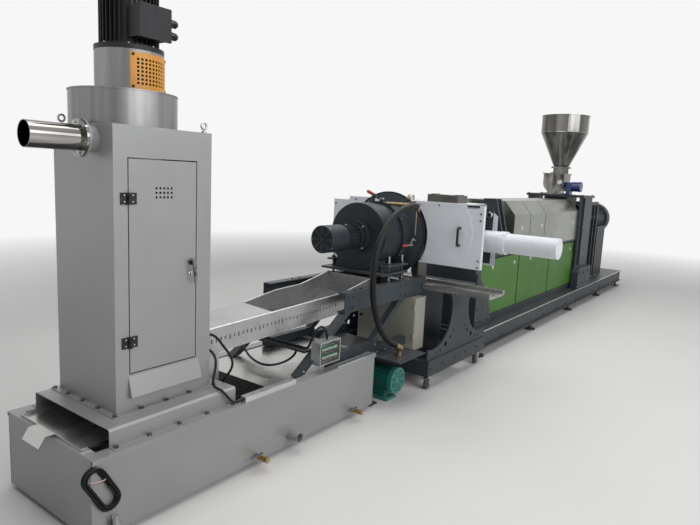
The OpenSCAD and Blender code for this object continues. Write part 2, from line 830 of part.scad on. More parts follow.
// Water pump under the shelf: volute, motor with fins and a fan cover
module water_pump() {
    color("seagreen") line() {
        difference() {
            rod_y(pump_x, pump_y - 85, pump_y - 50, pump_z, 92);
            translate([pump_x, pump_y - 85, pump_z]) rotate([90, 0, 0])
                translate([0, 0, -8]) cowl_slots([28, 48, 68], 9, 8, 10);
        }
        translate([pump_x, pump_y + 150, pump_z]) rotate([90, 0, 0])
            linear_extrude(200) finned_outline(78, 90, 28, 4);
        rod_y(pump_x, pump_y + 150, pump_y + 172, pump_z, 95);
        rod_y(pump_x, pump_y + 172, pump_y + 245, pump_z, 86);
        rod_z(pump_x, pump_y + 210, pump_z, shelf_z - seat_gap, 26);
        block([pump_x - 60, pump_y - 40, 0], [pump_x + 60, pump_y + 140, 20]);
        block([pump_x - 30, pump_y, 10], [pump_x + 30, pump_y + 120, pump_z - 50]);
    }
}

// Small open terminal box on the first brace
module terminal_box() {
    x = rail_x - 312;
    z = tank_gap + tank_h + 52;
    w = 190;
    h = 138;
    d = 70;
    y = -rail_y + 3 - seat_gap - d;
    color("lightgray") line() {
        difference() {
            block([x, y, z], [x + w, y + d, z + h]);
            block([x + 4, y - 1, z + 4], [x + w - 4, y + d - 4, z + h - 4]);
        }
        for (k = [0, 1])
            block([x + 20, y + 24, z + 30 + 48 * k], [x + w - 20, y + d - 4, z + 56 + 48 * k]);
    }
}

// Pelletizer base plate with side lugs, on adjusting studs above the rails
module pelletizer_base() {
    top = base_plate_top;
    low = top - base_plate_t;
    x0 = housing_x - 60;
    x1 = ring_x + 4;
    inner = rail_y - 30;
    lug_h = 42;
    color("slategray") line() {
        difference() {
            block([x0, -inner, low], [x1, inner, top]);
            block([chamber_x + 10, -152, low - 1], [x1 + 1, 152, top + 1]);
        }
        both_sides() {
            block([housing_x + 6, -inner, top + lug_h], [x1, -210, top + lug_h + 12]);
            block([housing_x + 6, -216, top], [x1, -210, top + lug_h]);
            for (x = [housing_x + 55, x1 - 52]) {
                rod_z(x, -inner + 22, rail_top, top + lug_h + 72, 8);
                rod_z(x, -inner + 22, rail_top, rail_top + 14, 15, $fn = 6);
                rod_z(x, -inner + 22, top + lug_h + 12, top + lug_h + 26, 15, $fn = 6);
                rod_z(x, -inner + 22, low - 14, low, 15, $fn = 6);
            }
        }
    }
}

// Cutter motor on the axis: fan cowl, finned body, end shield and flange
module cutter_motor() {
    x0 = rail_x + 110;
    x1 = x0 + 186;
    x2 = housing_x - 40;
    core = cutter_r - 13;
    color("dimgray") line() translate([0, 0, axis_h]) {
        difference() {
            rod_x(x0, x1, 0, 0, cutter_r, $fn = 96);
            translate([x0 - 1, 0, 0]) rotate([0, 90, 0]) cowl_slots([24, 42, 60, 78], 10, 8, 8);
        }
        translate([x1, 0, 0]) rotate([0, 90, 0])
            linear_extrude(x2 - x1 - 24) finned_outline(core - 6, cutter_r - 8, 32, 3.5);
        rod_x(x2 - 24, x2, 0, 0, cutter_r - 2, $fn = 96);
        rod_x(x2, housing_x - 6 - seat_gap, 0, 0, cutter_r + 23, $fn = 96);
        block([x1 + 20, cutter_r - 20, -45], [x1 + 130, cutter_r + 50, 45]);
    }
}

// Cutter housing: drum with its foot on the base plate
module cutter_housing() {
    color("slategray") line() {
        rod_x(housing_x, chamber_x, 0, axis_h, housing_r, $fn = 128);
        rod_x(housing_x - 6, housing_x, 0, axis_h, cutter_r + 30, $fn = 96);
        translate([0, 0, base_plate_top])
            along(housing_x + 10, chamber_x - 10)
                polygon([[-205, 0], [205, 0], [170, 90], [-170, 90]]);
    }
}

// Water chamber: neck, drum, flared shroud and docking ring, and the outlet
// under it
module water_chamber() {
    total = chamber_l + ring_l;
    neck_l = 105;
    drum_end = total - 50;
    color("slategray") line() {
        translate([chamber_x, 0, axis_h]) rotate([0, 90, 0]) rotate_extrude($fn = 128) polygon([
            [0, 0], [chamber_r - 15, 0], [chamber_r - 15, neck_l], [chamber_r, neck_l],
            [chamber_r, drum_end], [chamber_r - 12, drum_end], [ring_r - 12, total - 13],
            [ring_r, total - 13], [ring_r, total], [150, total], [150, chamber_l], [0, chamber_l]
        ]);
        difference() {
            block([chamber_x + 30, -120, rail_top - rail_h + 60], [chamber_x + 125, 120, axis_h - chamber_r + 40]);
            block([chamber_x + 36, -114, rail_top - rail_h + 59], [chamber_x + 119, 114, axis_h - chamber_r - 4]);
        }
    }
}

// Clamp lever on top of the drum and the toggle lever on its side
module chamber_levers() {
    top = axis_h + chamber_r;
    x = chamber_x + 115;
    tx = chamber_x + 165;
    ty = -chamber_r - 34;
    tz = axis_h - 45;
    color("silver") line() {
        block([x - 8, -20, top + seat_gap], [x + 45, 20, top + 22]);
        rod_y(x + 12, -50, 20, top + 18, 9);
        hull() {
            rod_y(x + 12, -30, -12, top + 18, 10, $fn = 24);
            rod_y(x - 160, -30, -12, top + 74, 8, $fn = 24);
        }
        difference() {
            rod_y(tx, ty, -chamber_r + 30, tz, 12);
            rod_x(tx - 40, tx + 40, 0, axis_h, chamber_r + seat_gap, $fn = 128);
        }
        block([tx - 125, ty - 10, tz - 12], [tx + 8, ty, tz]);
        across(ty - 8, ty)
            polygon([[tx - 40, tz - 6], [tx - 28, tz - 10], [tx + 10, tz + 28], [tx + 80, tz + 2], [tx + 84, tz + 12],
                     [tx + 10, tz + 40]]);
    }
}

// Elbow with its pipe to the drum, its gauge and drain tube, and the lower
// hose fitting on the pump shelf
module hose_fittings() {
    n = len(hose_route);
    a = hose_route[0];
    b = hose_route[n - 1];
    up = a - hose_route[1];
    down = b - hose_route[n - 2];
    e = a + up / norm(up) * 80;
    pipe_x0 = chamber_x + 121;
    color("goldenrod") line() {
        rod_along(a, up, 70, hose_r + 4);
        rod_z(e[0], e[1], e[2] - 18, e[2] + 42, hose_r + 7);
        difference() {
            rod_y(pipe_x0, e[1], -80, axis_h + chamber_r - 9, 13);
            rod_x(pipe_x0 - 40, pipe_x0 + 40, 0, axis_h, chamber_r + seat_gap, $fn = 128);
        }
        rod_z(pipe_x0, -273, axis_h + chamber_r - 9, axis_h + chamber_r + 20, 6);
        rod_y(pipe_x0, -287, -261, axis_h + chamber_r + 40, 27);
        rod_z(e[0], e[1], e[2] - 186, e[2] - 10, 4);
        rod_along(b, down, 80, hose_r + 5);
        rod_z(b[0] + 66, b[1], shelf_z + shelf_t, b[2] - 20, 16);
        rod_z(b[0] + 66, b[1], shelf_z + shelf_t, shelf_z + shelf_t + 12, 26, $fn = 6);
    }
}

// Directions along a route of points, and a ring of points round each
function ahead(p, i) = p[min(i + 1, len(p) - 1)] - p[max(i - 1, 0)];
function unit(v) = v / norm(v);
function ring_at(p, d, r, sides) = let (
        t = unit(d),
        s = unit(cross(t, abs(t[1]) > 0.9 ? [1, 0, 0] : [0, 1, 0])),
        u = cross(t, s)
    ) [for (k = [0:sides - 1]) p + r * (cos(k * 360 / sides) * s + sin(k * 360 / sides) * u)];

// A round hose swept along a route
module swept_tube(p, r, sides) {
    n = len(p);
    rings = [for (i = [0:n - 1]) each ring_at(p[i], ahead(p, i), r, sides)];
    walls = [for (i = [0:n - 2], k = [0:sides - 1])
        [i * sides + k, i * sides + (k + 1) % sides, (i + 1) * sides + (k + 1) % sides, (i + 1) * sides + k]];
    caps = [[for (k = [sides - 1:-1:0]) k], [for (k = [0:sides - 1]) (n - 1) * sides + k]];
    polyhedron(points = rings, faces = concat(walls, caps));
}

// Black water hose from the upper elbow down to the pump line
module water_hose() {
    color("black") line() swept_tube(hose_route, hose_r, 10);
}

// Cable from the tower down behind the weir
module tower_cable() {
    color("black") line() swept_tube([for (p = TOWER_CABLE) p + tower_cable_move], 6.5, 8);
}

// Cable from the tower over the cover's edge into the duct on the rim
module duct_cable() {
    color("black") line() swept_tube([for (p = DUCT_CABLE) p + tower_cable_move], 6.5, 8);
}

// Cable from the terminal box over the cross beam, with its hanging loop
module box_cable() {
    color("black") line() swept_tube([for (p = BOX_CABLE) p + box_cable_move], 7, 8);
}

// Waisted outline of a cart side plate
module cart_outline() {
    low = caster_h + sill_h;
    mid_z = low + (cart_top - low) * 0.67;
    top_w = 500;
    neck_w = 290;
    cut_r = 262;
    difference() {
        translate([cart_x, low]) square([cart_l, cart_top - low]);
        for (s = [-1, 1])
            translate([cart_mid, 0]) scale([s, 1]) {
                translate([neck_w / 2 + cut_r, mid_z]) circle(r = cut_r, $fn = 96);
                polygon([[neck_w / 2, mid_z], [neck_w / 2 + 12, mid_z + 60], [top_w / 2 - 12, cart_top - 60],
                         [top_w / 2, cart_top + 1], [cart_l, cart_top + 1], [cart_l, mid_z]]);
                for (h = [[97, 166, 9], [147, 120, 13], [222, 75, 22], [305, 44, 12], [365, 36, 9]])
                    translate([h[0], low + h[1]]) circle(r = h[2]);
            }
    }
}

// Die cart: waisted side plates on channels, cross channels, a central
// pedestal and the table
module cart_frame() {
    low = caster_h;
    top = low + sill_h;
    x1 = cart_x + cart_l;
    t = 12;
    color("slategray") line() {
        both_sides() {
            across(-cart_y, -cart_y + t) cart_outline();
            block([cart_x, -cart_y - 12, low], [x1, -cart_y - 4, top]);
            block([cart_x, -cart_y - 12, top - 9], [x1, -cart_y + 46, top]);
            block([cart_x, -cart_y - 12, low], [x1, -cart_y + 46, low + 9]);
        }
        for (x = [cart_x, x1 - 50])
            block([x, -cart_y - 4, low], [x + 50, cart_y + 4, top - 9]);
        block([cart_mid - 250, -cart_y, cart_top - 14], [cart_mid + 250, cart_y, cart_top]);
        block([cart_mid - 190, -210, low + 9], [cart_mid + 190, 210, cart_top - 14]);
        block([cart_mid - 190, -cart_y + t, low], [cart_mid + 190, cart_y - t, low + 9]);
    }
}

// Slide plate across the cart, on which the screen changer is drawn out
module slide_plate() {
    x0 = pipe_x - 165;
    x1 = x0 + 277;
    y0 = -hood_near - 73;
    notch = rail_x + rail_l + 5;
    color("lightgrey") line() difference() {
        union() {
            block([x0, y0, cart_top], [x1, cart_y, cart_top + 16]);
            block([x0, y0, cart_top + 16], [x0 + 34, cart_y, slide_top]);
            block([x1 - 34, y0, cart_top + 16], [x1, cart_y, slide_top]);
        }
        block([x0 - 1, -rail_y - 6, cart_top - 1], [notch, rail_y + 6, slide_top + 1]);
    }
}

// Places of the four casters
function caster_places() = [for (x = [cart_x + 70, cart_x + cart_l - 90], s = [-1, 1]) [x, s * (cart_y - 18)]];

// Swivel casters: plates, forks, axles and brake pedals
module caster_forks() {
    color("silver") line()
        for (p = caster_places())
            translate([p[0], p[1], 0]) {
                block([-45, -30, caster_h - 4], [45, 30, caster_h]);
                rod_z(0, 0, caster_h - 17, caster_h - 4, 22);
                for (s = [-1, 1])
                    across(s * 18 - 1.5, s * 18 + 1.5)
                        polygon([[-22, caster_h - 17], [22, caster_h - 17], [-8, caster_r - 9], [-34, caster_r - 9]]);
                block([-24, -19.5, caster_h - 20], [24, 19.5, caster_h - 17]);
                rod_y(-20, -22, 22, caster_r, 5);
                block([-72, -17, caster_h - 20], [-20, 17, caster_h - 16]);
            }
}

// Caster wheels with their hubs
module caster_wheels() {
    color("dimgray") line()
        for (p = caster_places())
            translate([p[0] - 20, p[1], caster_r]) rotate([90, 0, 0]) rotate_extrude($fn = 72) polygon([
                [5 + seat_gap, -16], [14, -16], [14, -12], [caster_r - 10, -12], [caster_r - 4, -13],
                [caster_r, -9], [caster_r, 9], [caster_r - 4, 13], [caster_r - 10, 12], [14, 12],
                [14, 16], [5 + seat_gap, 16]
            ]);
}

// Heater wiring box on the cart's end
module heater_box() {
    x = cart_x - 20;
    box_top = rail_top - rail_h - 6;
    color("tan") line() {
        block([x, -355, 285], [x + 145, 155, box_top]);
        block([x - 4, -350, 290], [x, 150, box_top - 5]);
        block([x + 20, -120, caster_h + sill_h - 9], [x + 100, -60, 285]);
    }
}

// Outline of the hood's front plate, with the round clearance and a corner
// notch, drawn in Y and Z
module hood_outline() {
    difference() {
        polygon([
            [-hood_near, hood_z], [hood_far, hood_z], [hood_far, hood_top - step_h],
            [hood_far - step_w, hood_top - step_h], [hood_far - step_w - 10, hood_top], [-hood_near, hood_top]
        ]);
        translate([0, axis_h]) circle(r = ring_r + 13, $fn = 128);
        translate([-720, hood_top - 26]) square([84, 14]);
    }
}

// Hood door: plate between the round clearance and an outward arc
module door_outline(grow) {
    intersection() {
        difference() {
            translate([-hood_near + 8, hood_z + 4]) square([hood_near, hood_h - 8]);
            translate([0, axis_h]) circle(r = ring_r + 19 - grow, $fn = 128);
            translate([-200, 0]) square([400, 3000]);
        }
        translate([-318, axis_h + 40]) circle(r = 376 + grow, $fn = 128);
    }
}

// Front plate of the hood in two parts, left and right of the chamber
module hood_front() {
    color("white") line() along(hood_x, hood_x + 4) hood_outline();
}

// Arc-edged door plate in front of the hood
module hood_door() {
    color("white") line() along(hood_x - 4, hood_x) door_outline(0);
}

// Bow handle of the hood door
module hood_handle() {
    y = -600;
    z0 = axis_h - 42;
    z1 = axis_h + 106;
    color("black") line() {
        for (z = [z0 + 12, z1 - 12])
            rod_x(hood_x - 40, hood_x - 4, y, z, 9);
        hull() {
            for (z = [z0 + 12, z1 - 12])
                translate([hood_x - 40, y, z]) sphere(r = 9, $fn = 24);
        }
    }
}

// Hood shell: roof, rear plate, far side and edge frame
module hood_shell() {
    x0 = hood_x + 4;
    x1 = hood_x + hood_d;
    color("white") line() {
        along(x0, x1) polygon([
            [fold_y, hood_top - 4], [hood_far - step_w - 13, hood_top - 4], [hood_far - step_w - 3, hood_top - step_h - 4],
            [hood_far, hood_top - step_h - 4], [hood_far, hood_top - step_h], [hood_far - step_w, hood_top - step_h],
            [hood_far - step_w - 10, hood_top], [fold_y, hood_top]
        ]);
        difference() {
            along(x1 - 4, x1) polygon([
                [fold_y - 107, hood_z], [hood_far, hood_z], [hood_far, hood_top - step_h],
                [hood_far - step_w, hood_top - step_h], [hood_far - step_w - 10, hood_top], [fold_y, hood_top],
                [fold_y - 107, hood_top - 87]
            ]);
            rod_x(x1 - 5, x1 + 1, 0, axis_h, barrel_r + 12);
        }
        block([x0, hood_far - 4, hood_z], [x1, hood_far, hood_top - step_h]);
        block([x0, hood_far - 30, hood_z], [x0 + 30, hood_far, hood_top - step_h - 4]);
        block([x0, -hood_near, hood_z], [x0 + 30, -hood_near + 30, hood_top - 4]);
        block([x0, -hood_near, hood_top - 24], [x0 + 30, fold_y + 30, hood_top - 4]);
    }
}

// Dark cap on the hood's roof over the die head
module roof_cap() {
    color("dimgray") line()
        block([hood_x + 50, -540, hood_top], [hood_x + 200, -290, hood_top + 54]);
}

// Round cover of the hydraulic cylinder, with a stepped collar and end cap
module cylinder_cover() {
    y0 = -flange_y;
    color("white") line() {
        rod_y(pipe_x, y0 - 190, y0, axis_h, pipe_r + 8, $fn = 96);
        rod_y(pipe_x, y0 - 214, y0 - 170, axis_h, pipe_r + 11, $fn = 96);
        rod_y(pipe_x, y0 - pipe_l, y0 - 170, axis_h, pipe_r, $fn = 96);
    }
}

// Screen changer and die head on the slide plate
module screen_changer() {
    y0 = -flange_y;
    color("dimgray") line() {
        block([pipe_x - 95, -230, axis_h - 190], [pipe_x + 90, 230, axis_h + 190]);
        rod_x(ring_x + ring_l + seat_gap, pipe_x - 90, 0, axis_h, 172, $fn = 96);
        block([pipe_x - 60, y0 + 20, axis_h - 60], [pipe_x + 60, -225, axis_h + 60]);
        block([pipe_x - 85, y0, axis_h - 190], [pipe_x + 90, y0 + 20, axis_h + 230]);
        for (y = [-200, 150])
            block([pipe_x - 68, y, cart_top + 16], [pipe_x + 68, y + 50, axis_h - 185]);
        for (y = [-200, 150])
            block([pipe_x - 72, y - 20, cart_top + 16], [pipe_x + 72, y + 70, cart_top + 34]);
        rod_y(pipe_x, 225, 330, axis_h, 55);
        for (x = [pipe_x - 70, pipe_x + 66])
            block([x - 10, -40, axis_h + 180], [x + 10, 40, hood_top - 4]);
        for (s = [-1, 1])
            block([pipe_x - 70, s * 180 - 15, axis_h + 185], [pipe_x + 70, s * 180 + 15, hood_top - 4]);
    }
}

// Barrel from the screen changer to the covers, with heater bands
module barrel() {
    x0 = pipe_x + 90 + seat_gap;
    x1 = stand_x + 60 - seat_gap;
    color("dimgray") line() {
        rod_x(x0, x1, 0, axis_h, barrel_r, $fn = 96);
        rod_x(x0, x0 + 30, 0, axis_h, barrel_r + 10, $fn = 96);
        rod_x(hood_x + hood_d + 60, hood_x + hood_d + 100, 0, axis_h, barrel_r + 45, $fn = 96);
        for (k = [0:3])
            rod_x(cover_x - 520 + 130 * k, cover_x - 410 + 130 * k, 0, axis_h, barrel_r + 12, $fn = 96);
    }
}

// Two forked bulkheads on the deck, in front of the covers, open at the top
module bulkheads() {
    h = stand_top - 38 - deck_h;
    color("dimgray") line()
        for (x = [cover_x - 318, cover_x - 218])
            difference() {
                along(x, x + 25) polygon([[-380, deck_h], [-250, deck_h + h], [250, deck_h + h], [380, deck_h]]);
                rod_x(x - 1, x + 26, 0, axis_h, barrel_r + 25);
                block([x - 1, -barrel_r - 25, axis_h], [x + 26, barrel_r + 25, deck_h + h + 1]);
            }
}

// Extruder base: long channels, cross members, deck plate and feet
module extruder_base() {
    h = 155;
    low = base_top - h;
    x0 = base_x;
    x1 = line_end;
    color("slategray") line() {
        both_sides() {
            block([x0, -base_y + 22, low], [x1, -base_y + 30, base_top]);
            block([x0, -base_y, base_top - 10], [x1, -base_y + 80, base_top]);
            block([x0, -base_y, low], [x1, -base_y + 80, low + 10]);
            for (x = [x0 + 80, x0 + 1400, x0 + 2750, x0 + 4100, x1 - 130]) {
                rod_z(x, -base_y + 50, 0, 14, 55);
                rod_z(x, -base_y + 50, 10, low + 2, 16);
            }
        }
        block([x0, -base_y + 30, base_top - 10], [x1, base_y - 30, base_top]);
        for (x = [x0, x0 + 1780, x0 + 3580, x1 - 80])
            block([x, -base_y + 30, low], [x + 80, base_y - 30, base_top - 10]);
    }
}

// Machine body under the barrel, with its deck and sloping end gussets
module machine_body() {
    x1 = body_x + body_l;
    color("slategray") line() {
        block([body_x, -body_y + 10, base_top], [x1, body_y - 10, deck_h - 20]);
        block([body_x, -body_y - 20, deck_h - 20], [x1, body_y + 20, deck_h]);
        block([body_x, -body_y, base_top], [x1 - 540, body_y, base_top + 70]);
        both_sides() {
            block([body_x, -body_y - 20, base_top], [body_x + 110, -body_y + 10, deck_h - 20]);
            across(-body_y - 40, -body_y - 6 - seat_gap) polygon([
                [body_x, base_top], [body_x + 372, base_top], [body_x + 340, base_top + 105],
                [body_x + 258, base_top + 287], [body_x + 123, base_top + 415], [body_x, base_top + 500]
            ]);
        }
    }
}

// Green side panels in a row along both sides
module side_panels() {
    n = 3;
    gap = 26;
    x0 = body_x + 120;
    total = body_l - 120 - 560;
    w = (total - (n - 1) * gap) / n;
    low = base_top + 78;
    color([0.29, 0.5, 0.2]) line() both_sides()
        for (k = [0:n - 1])
            block([x0 + k * (w + gap), -body_y - 6, low], [x0 + k * (w + gap) + w, -body_y + 10, deck_h - 42]);
}

// Outline of the chamfered barrel covers
module cover_outline(inset) {
    w = cover_y - inset;
    h = cover_h - inset;
    top_w = w - 115 + inset * 0.4;
    low = inset > 0 ? -1 : 0;
    polygon([[-w, low], [w, low], [w, h - 135], [top_w, h], [-top_w, h], [-w, h - 135]]);
}

// Stainless barrel covers in three lengths, each a folded shell
module barrel_covers() {
    cuts = [0, 452, 920, cover_l];
    gap = 4;
    color("lightgrey") line() translate([0, 0, deck_h])
        for (k = [0:2])
            difference() {
                along(cover_x + cuts[k], cover_x + cuts[k + 1] - gap) cover_outline(0);
                along(cover_x + cuts[k] + (k == 0 ? 4 : -1), cover_x + cuts[k + 1] - gap + (k == 2 ? -4 : 1))
                    cover_outline(4);
                if (k == 0)
                    rod_x(cover_x - 1, cover_x + 5, 0, axis_h - deck_h, barrel_r + 12 + seat_gap);
                if (k == 2)
                    rod_x(cover_x + cover_l - gap - 5, cover_x + cover_l, 0, axis_h - deck_h, barrel_r + 5);
            }
}

// Feed stand: wide uprights on foot blocks and the table over the barrel
module feed_stand() {
    x0 = stand_x;
    x1 = stand_x + stand_l;
    low = deck_h;
    color("slategray") line() {
        both_sides() {
            block([x0, -body_y - 44, base_top], [x1, -body_y - 20 - seat_gap, stand_top - 30]);
            block([x0 + 90, -body_y - 70, base_top + 300], [x0 + 200, -body_y - 44, stand_top - 30]);
            across(-body_y - 110, -body_y - 20 - seat_gap)
                polygon([[x0 - 50, base_top], [x1, base_top], [x1, base_top + 265], [x0, base_top + 265],
                         [x0 - 50, base_top + 215]]);
        }
        block([x0, -body_y - 70, stand_top - 30], [x1, body_y + 70, stand_top]);
        block([x0 + 60, -150, deck_h], [x1 - 60, 150, stand_top - 30]);
    }
}

hopper_x = stand_x + 165;
feeder_y = 40;
feeder_top = stand_top + 345;

// Feeder chamber: round-bottomed trough with its inlet neck and foot flange
module feeder_chamber() {
    r = 135;
    mid = stand_top + 15 + r;
    color("gainsboro") line() {
        translate([0, feeder_y, 0]) {
            rod_x(hopper_x - 130, hopper_x + 130, 0, mid, r, $fn = 96);
            block([hopper_x - 130, -r, mid], [hopper_x + 130, r, mid + 110]);
            block([hopper_x - 145, -r - 14, mid + 110], [hopper_x + 145, r + 14, mid + 118]);
            block([hopper_x - 150, -r - 10, stand_top], [hopper_x + 150, r + 10, stand_top + 15]);
            block([hopper_x - 110, -80, stand_top + 10], [hopper_x + 110, 80, mid]);
        }
        rod_z(hopper_x, 0, mid + 60, feeder_top, throat_r + 6, $fn = 96);
        rod_z(hopper_x, 0, feeder_top - 10, feeder_top, throat_r + 34, $fn = 96);
    }
}

// Feeder gearmotor on the operator's side of the chamber
module feeder_motor() {
    z = stand_top + 110;
    y1 = feeder_y - 135;
    color("mediumblue") line() {
        block([hopper_x - 60, y1 - 70, z - 70], [hopper_x + 70, y1, z + 50]);
        rod_y(hopper_x + 5, y1 - 165, y1 - 70, z - 5, 62);
        rod_y(hopper_x + 5, y1 - 185, y1 - 165, z - 5, 66);
        block([hopper_x - 50, y1 - 60, stand_top], [hopper_x + 60, y1 - 10, z - 70]);
    }
}

// Polished hopper: cylinder, cone, rolled rim and outlet flange
module hopper() {
    z0 = feeder_top;
    z1 = z0 + cone_h;
    z2 = z1 + hopper_h;
    t = hopper_t;
    color("gainsboro") line() translate([hopper_x, 0, 0]) rotate_extrude($fn = 128) polygon([
        [throat_r, z0], [throat_r + 34, z0], [throat_r + 34, z0 + 8], [throat_r + t, z0 + 8],
        [hopper_r, z1], [hopper_r, z2 - 6], [hopper_r + 9, z2 - 6], [hopper_r + 9, z2],
        [hopper_r - t, z2], [hopper_r - t, z1 + 1], [throat_r, z0 + 9]
    ]);
}

// Gearbox: ribbed casting on the base behind the machine body
module gearbox() {
    x0 = gear_x;
    x1 = gear_x + gear_l;
    top = axis_h + 210;
    color("slategray") line() {
        block([x0 + 180, -250, base_top + 40], [x1 - 40, 250, top]);
        block([x0 + 140, -320, base_top], [x1 - 20, 320, base_top + 40]);
        rod_x(x0, x0 + 180, 0, axis_h, 170, $fn = 96);
        rod_x(x0, x0 + 30, 0, axis_h, 230, $fn = 96);
        rod_x(x1 - 40, x1, 0, axis_h - 60, 215, $fn = 96);
        for (x = [x0 + 240, x0 + 400, x0 + 560])
            block([x, -275, base_top + 40], [x + 22, 275, top - 40]);
        block([x0 + 200, -262, axis_h - 20], [x1 - 60, 262, axis_h + 20]);
    }
}

// Main motor: flange, finned body, cowl, feet and terminal box
module main_motor() {
    x0 = drive_x + seat_gap;
    x1 = x0 + 40;
    x2 = x1 + drive_l;
    z = axis_h - 60;
    core = drive_r - 28;
    color("darkslategray") line() {
        rod_x(x0, x1, 0, z, 225, $fn = 96);
        translate([x1, 0, z]) rotate([0, 90, 0]) linear_extrude(drive_l) finned_outline(core, drive_r, 44, 5);
        difference() {
            rod_x(x2, x2 + 150, 0, z, drive_r + 3, $fn = 96);
            translate([x2 + 144, 0, z]) rotate([0, 90, 0]) cowl_slots([70, 110, 150, 190], 16, 8, 10);
        }
        for (y = [-230, 150])
            block([x1 + 60, y, base_top], [x1 + drive_l - 60, y + 80, z - 90]);
        block([x1 + 120, core - 30, z - 90], [x1 + 340, drive_r + 90, z + 90]);
    }
}

// Hank of spare cable that hangs at the tank's corner
module cable_hank() {
    w = 104;
    l = 130;
    d = 26;
    cx = 37;
    cz = tank_gap + tank_h - 134;
    y0 = -tank_w / 2 - d - seat_gap;
    color("black") line() translate([cx, 0, cz]) rotate([0, -30, 0])
        across(y0, y0 + d) difference() {
            hull() {
                for (s = [-1, 1])
                    translate([0, s * l / 2]) circle(r = w / 2, $fn = 32);
            }
            hull() {
                for (s = [-1, 1])
                    translate([0, s * l / 2]) circle(r = w / 2 - 30, $fn = 32);
            }
        }
}

water_tank();
tank_screens();
leveling_feet();
drain_valves();
cable_duct();
hat_cover();
sieve_tray();
tower_cabinet();
screen_drum();
tower_door();
door_hinges();
hinge_leaves();
door_handle();
discharge_collar();
motor_pedestal();
vent_guard();
tower_motor();
lifting_eyes();
outlet_spigot();
outlet_pipe();
chute();
frame_rails();
frame_braces();
water_pump();
terminal_box();
pelletizer_base();
cutter_motor();
cutter_housing();
water_chamber();
chamber_levers();
hose_fittings();
water_hose();
cart_frame();
slide_plate();
caster_forks();
caster_wheels();
heater_box();
hood_front();
hood_door();
hood_handle();
hood_shell();
cylinder_cover();
screen_changer();
barrel();
bulkheads();
extruder_base();
machine_body();
side_panels();
barrel_covers();
feed_stand();
feeder_chamber();
feeder_motor();
hopper();
gearbox();
main_motor();
cable_hank();
roof_cap();
tower_cable();
duct_cable();
box_cable();
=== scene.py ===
# %% [markdown]
# # A plastic extruder line with an underwater pelletizing head
#
# This lesson dresses a finished CAD model: a water tank with a drying tower, a
# chute, a pelletizing head, a die cart with a white hood, and the extruder.
# The solids keep the true sizes. Here they get their paint, steel and rubber,
# and the small parts that a shop bolts on last. Lengths are metres, Z is up.

# %% Load the solids
import math
import random

import bmesh
import bpy
from mathutils import Matrix, Vector


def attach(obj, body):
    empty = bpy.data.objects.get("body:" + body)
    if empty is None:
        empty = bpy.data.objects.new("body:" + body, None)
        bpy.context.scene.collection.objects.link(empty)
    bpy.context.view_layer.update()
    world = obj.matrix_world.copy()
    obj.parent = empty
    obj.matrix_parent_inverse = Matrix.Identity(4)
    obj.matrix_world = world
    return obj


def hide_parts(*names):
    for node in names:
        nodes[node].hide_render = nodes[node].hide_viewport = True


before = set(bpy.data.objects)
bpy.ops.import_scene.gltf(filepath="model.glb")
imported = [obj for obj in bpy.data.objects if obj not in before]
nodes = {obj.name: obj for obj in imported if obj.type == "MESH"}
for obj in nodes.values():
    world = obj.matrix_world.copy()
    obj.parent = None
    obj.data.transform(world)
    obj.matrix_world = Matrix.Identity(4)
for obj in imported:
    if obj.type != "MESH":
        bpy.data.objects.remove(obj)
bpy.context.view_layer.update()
random.seed(7)

# %% [markdown]
# The drawing counts millimetres from the tank's free end, on the screw axis.
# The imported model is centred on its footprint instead. One small helper turns
# drawing stations into scene metres, so every piece below can be placed by
# the numbers on the drawing. A second helper puts a new object in the scene.

# %% Drawing stations to scene metres
LINE_MID = (4436.5, -346.5)


def at(x, y, z):
    return Vector(((x - LINE_MID[0]) / 1000, (y - LINE_MID[1]) / 1000, z / 1000))


def put(name, data):
    """A new object in the scene for a camera, curve, mesh or lamp."""
    made = bpy.data.objects.new(name, data)
    bpy.context.scene.collection.objects.link(made)
    return made


AXIS_H = 1120
print("screw axis starts at", tuple(round(v, 3) for v in at(2230, 0, AXIS_H)))

# %% [markdown]
# ## Camera
#
# The photographer stood at the tank's corner and looked along the line. A
# camera could be placed by eye, but three families of parallel edges fix its
# turn, its tilt and its lens exactly, so those solved angles are used.

# %% Camera
YAW, TILT, ROLL = (math.radians(a) for a in (36.335, 8.464, 2.688))
EYE = Vector((-5.6065, -2.1005, 1.55))

ahead = Vector((math.cos(TILT) * math.cos(YAW), math.cos(TILT) * math.sin(YAW), -math.sin(TILT)))
level = ahead.cross(Vector((0, 0, 1))).normalized()
upward = level.cross(ahead)
right = math.cos(ROLL) * level + math.sin(ROLL) * upward
top = -math.sin(ROLL) * level + math.cos(ROLL) * upward
camera_data = bpy.data.cameras.new("camera")
camera_data.lens = 30.16
camera_data.sensor_width = 36
camera_data.clip_end = 200
camera = put("camera", camera_data)
camera.matrix_world = Matrix.Translation(EYE) @ Matrix((right, top, -ahead)).transposed().to_4x4()
bpy.context.scene.camera = camera
print("camera at", tuple(round(v, 2) for v in EYE), "lens", camera_data.lens, "mm")

# %% [markdown]
# ## Water hose and cable
#
# A black rubber hose carries the process water from the pump line to the
# cutting chamber. It could be swept as a mesh, but a Bezier curve with a round
# bevel stays smooth with few points, and its length can be measured.

# %% Curve helper and the water hose
def smooth_curve(name, points, diameter, sides=10):
    curve = bpy.data.curves.new(name, "CURVE")
    curve.dimensions = "3D"
    curve.bevel_depth = 1.0
    curve.bevel_resolution = max(1, sides // 4 - 1)
    curve.resolution_u = 8
    curve.use_fill_caps = True
    spline = curve.splines.new("BEZIER")
    spline.bezier_points.add(len(points) - 1)
    for knot, place in zip(spline.bezier_points, points):
        knot.co = place
        knot.radius = diameter / 2
        knot.handle_left_type = knot.handle_right_type = "AUTO"
    return put(name, curve)


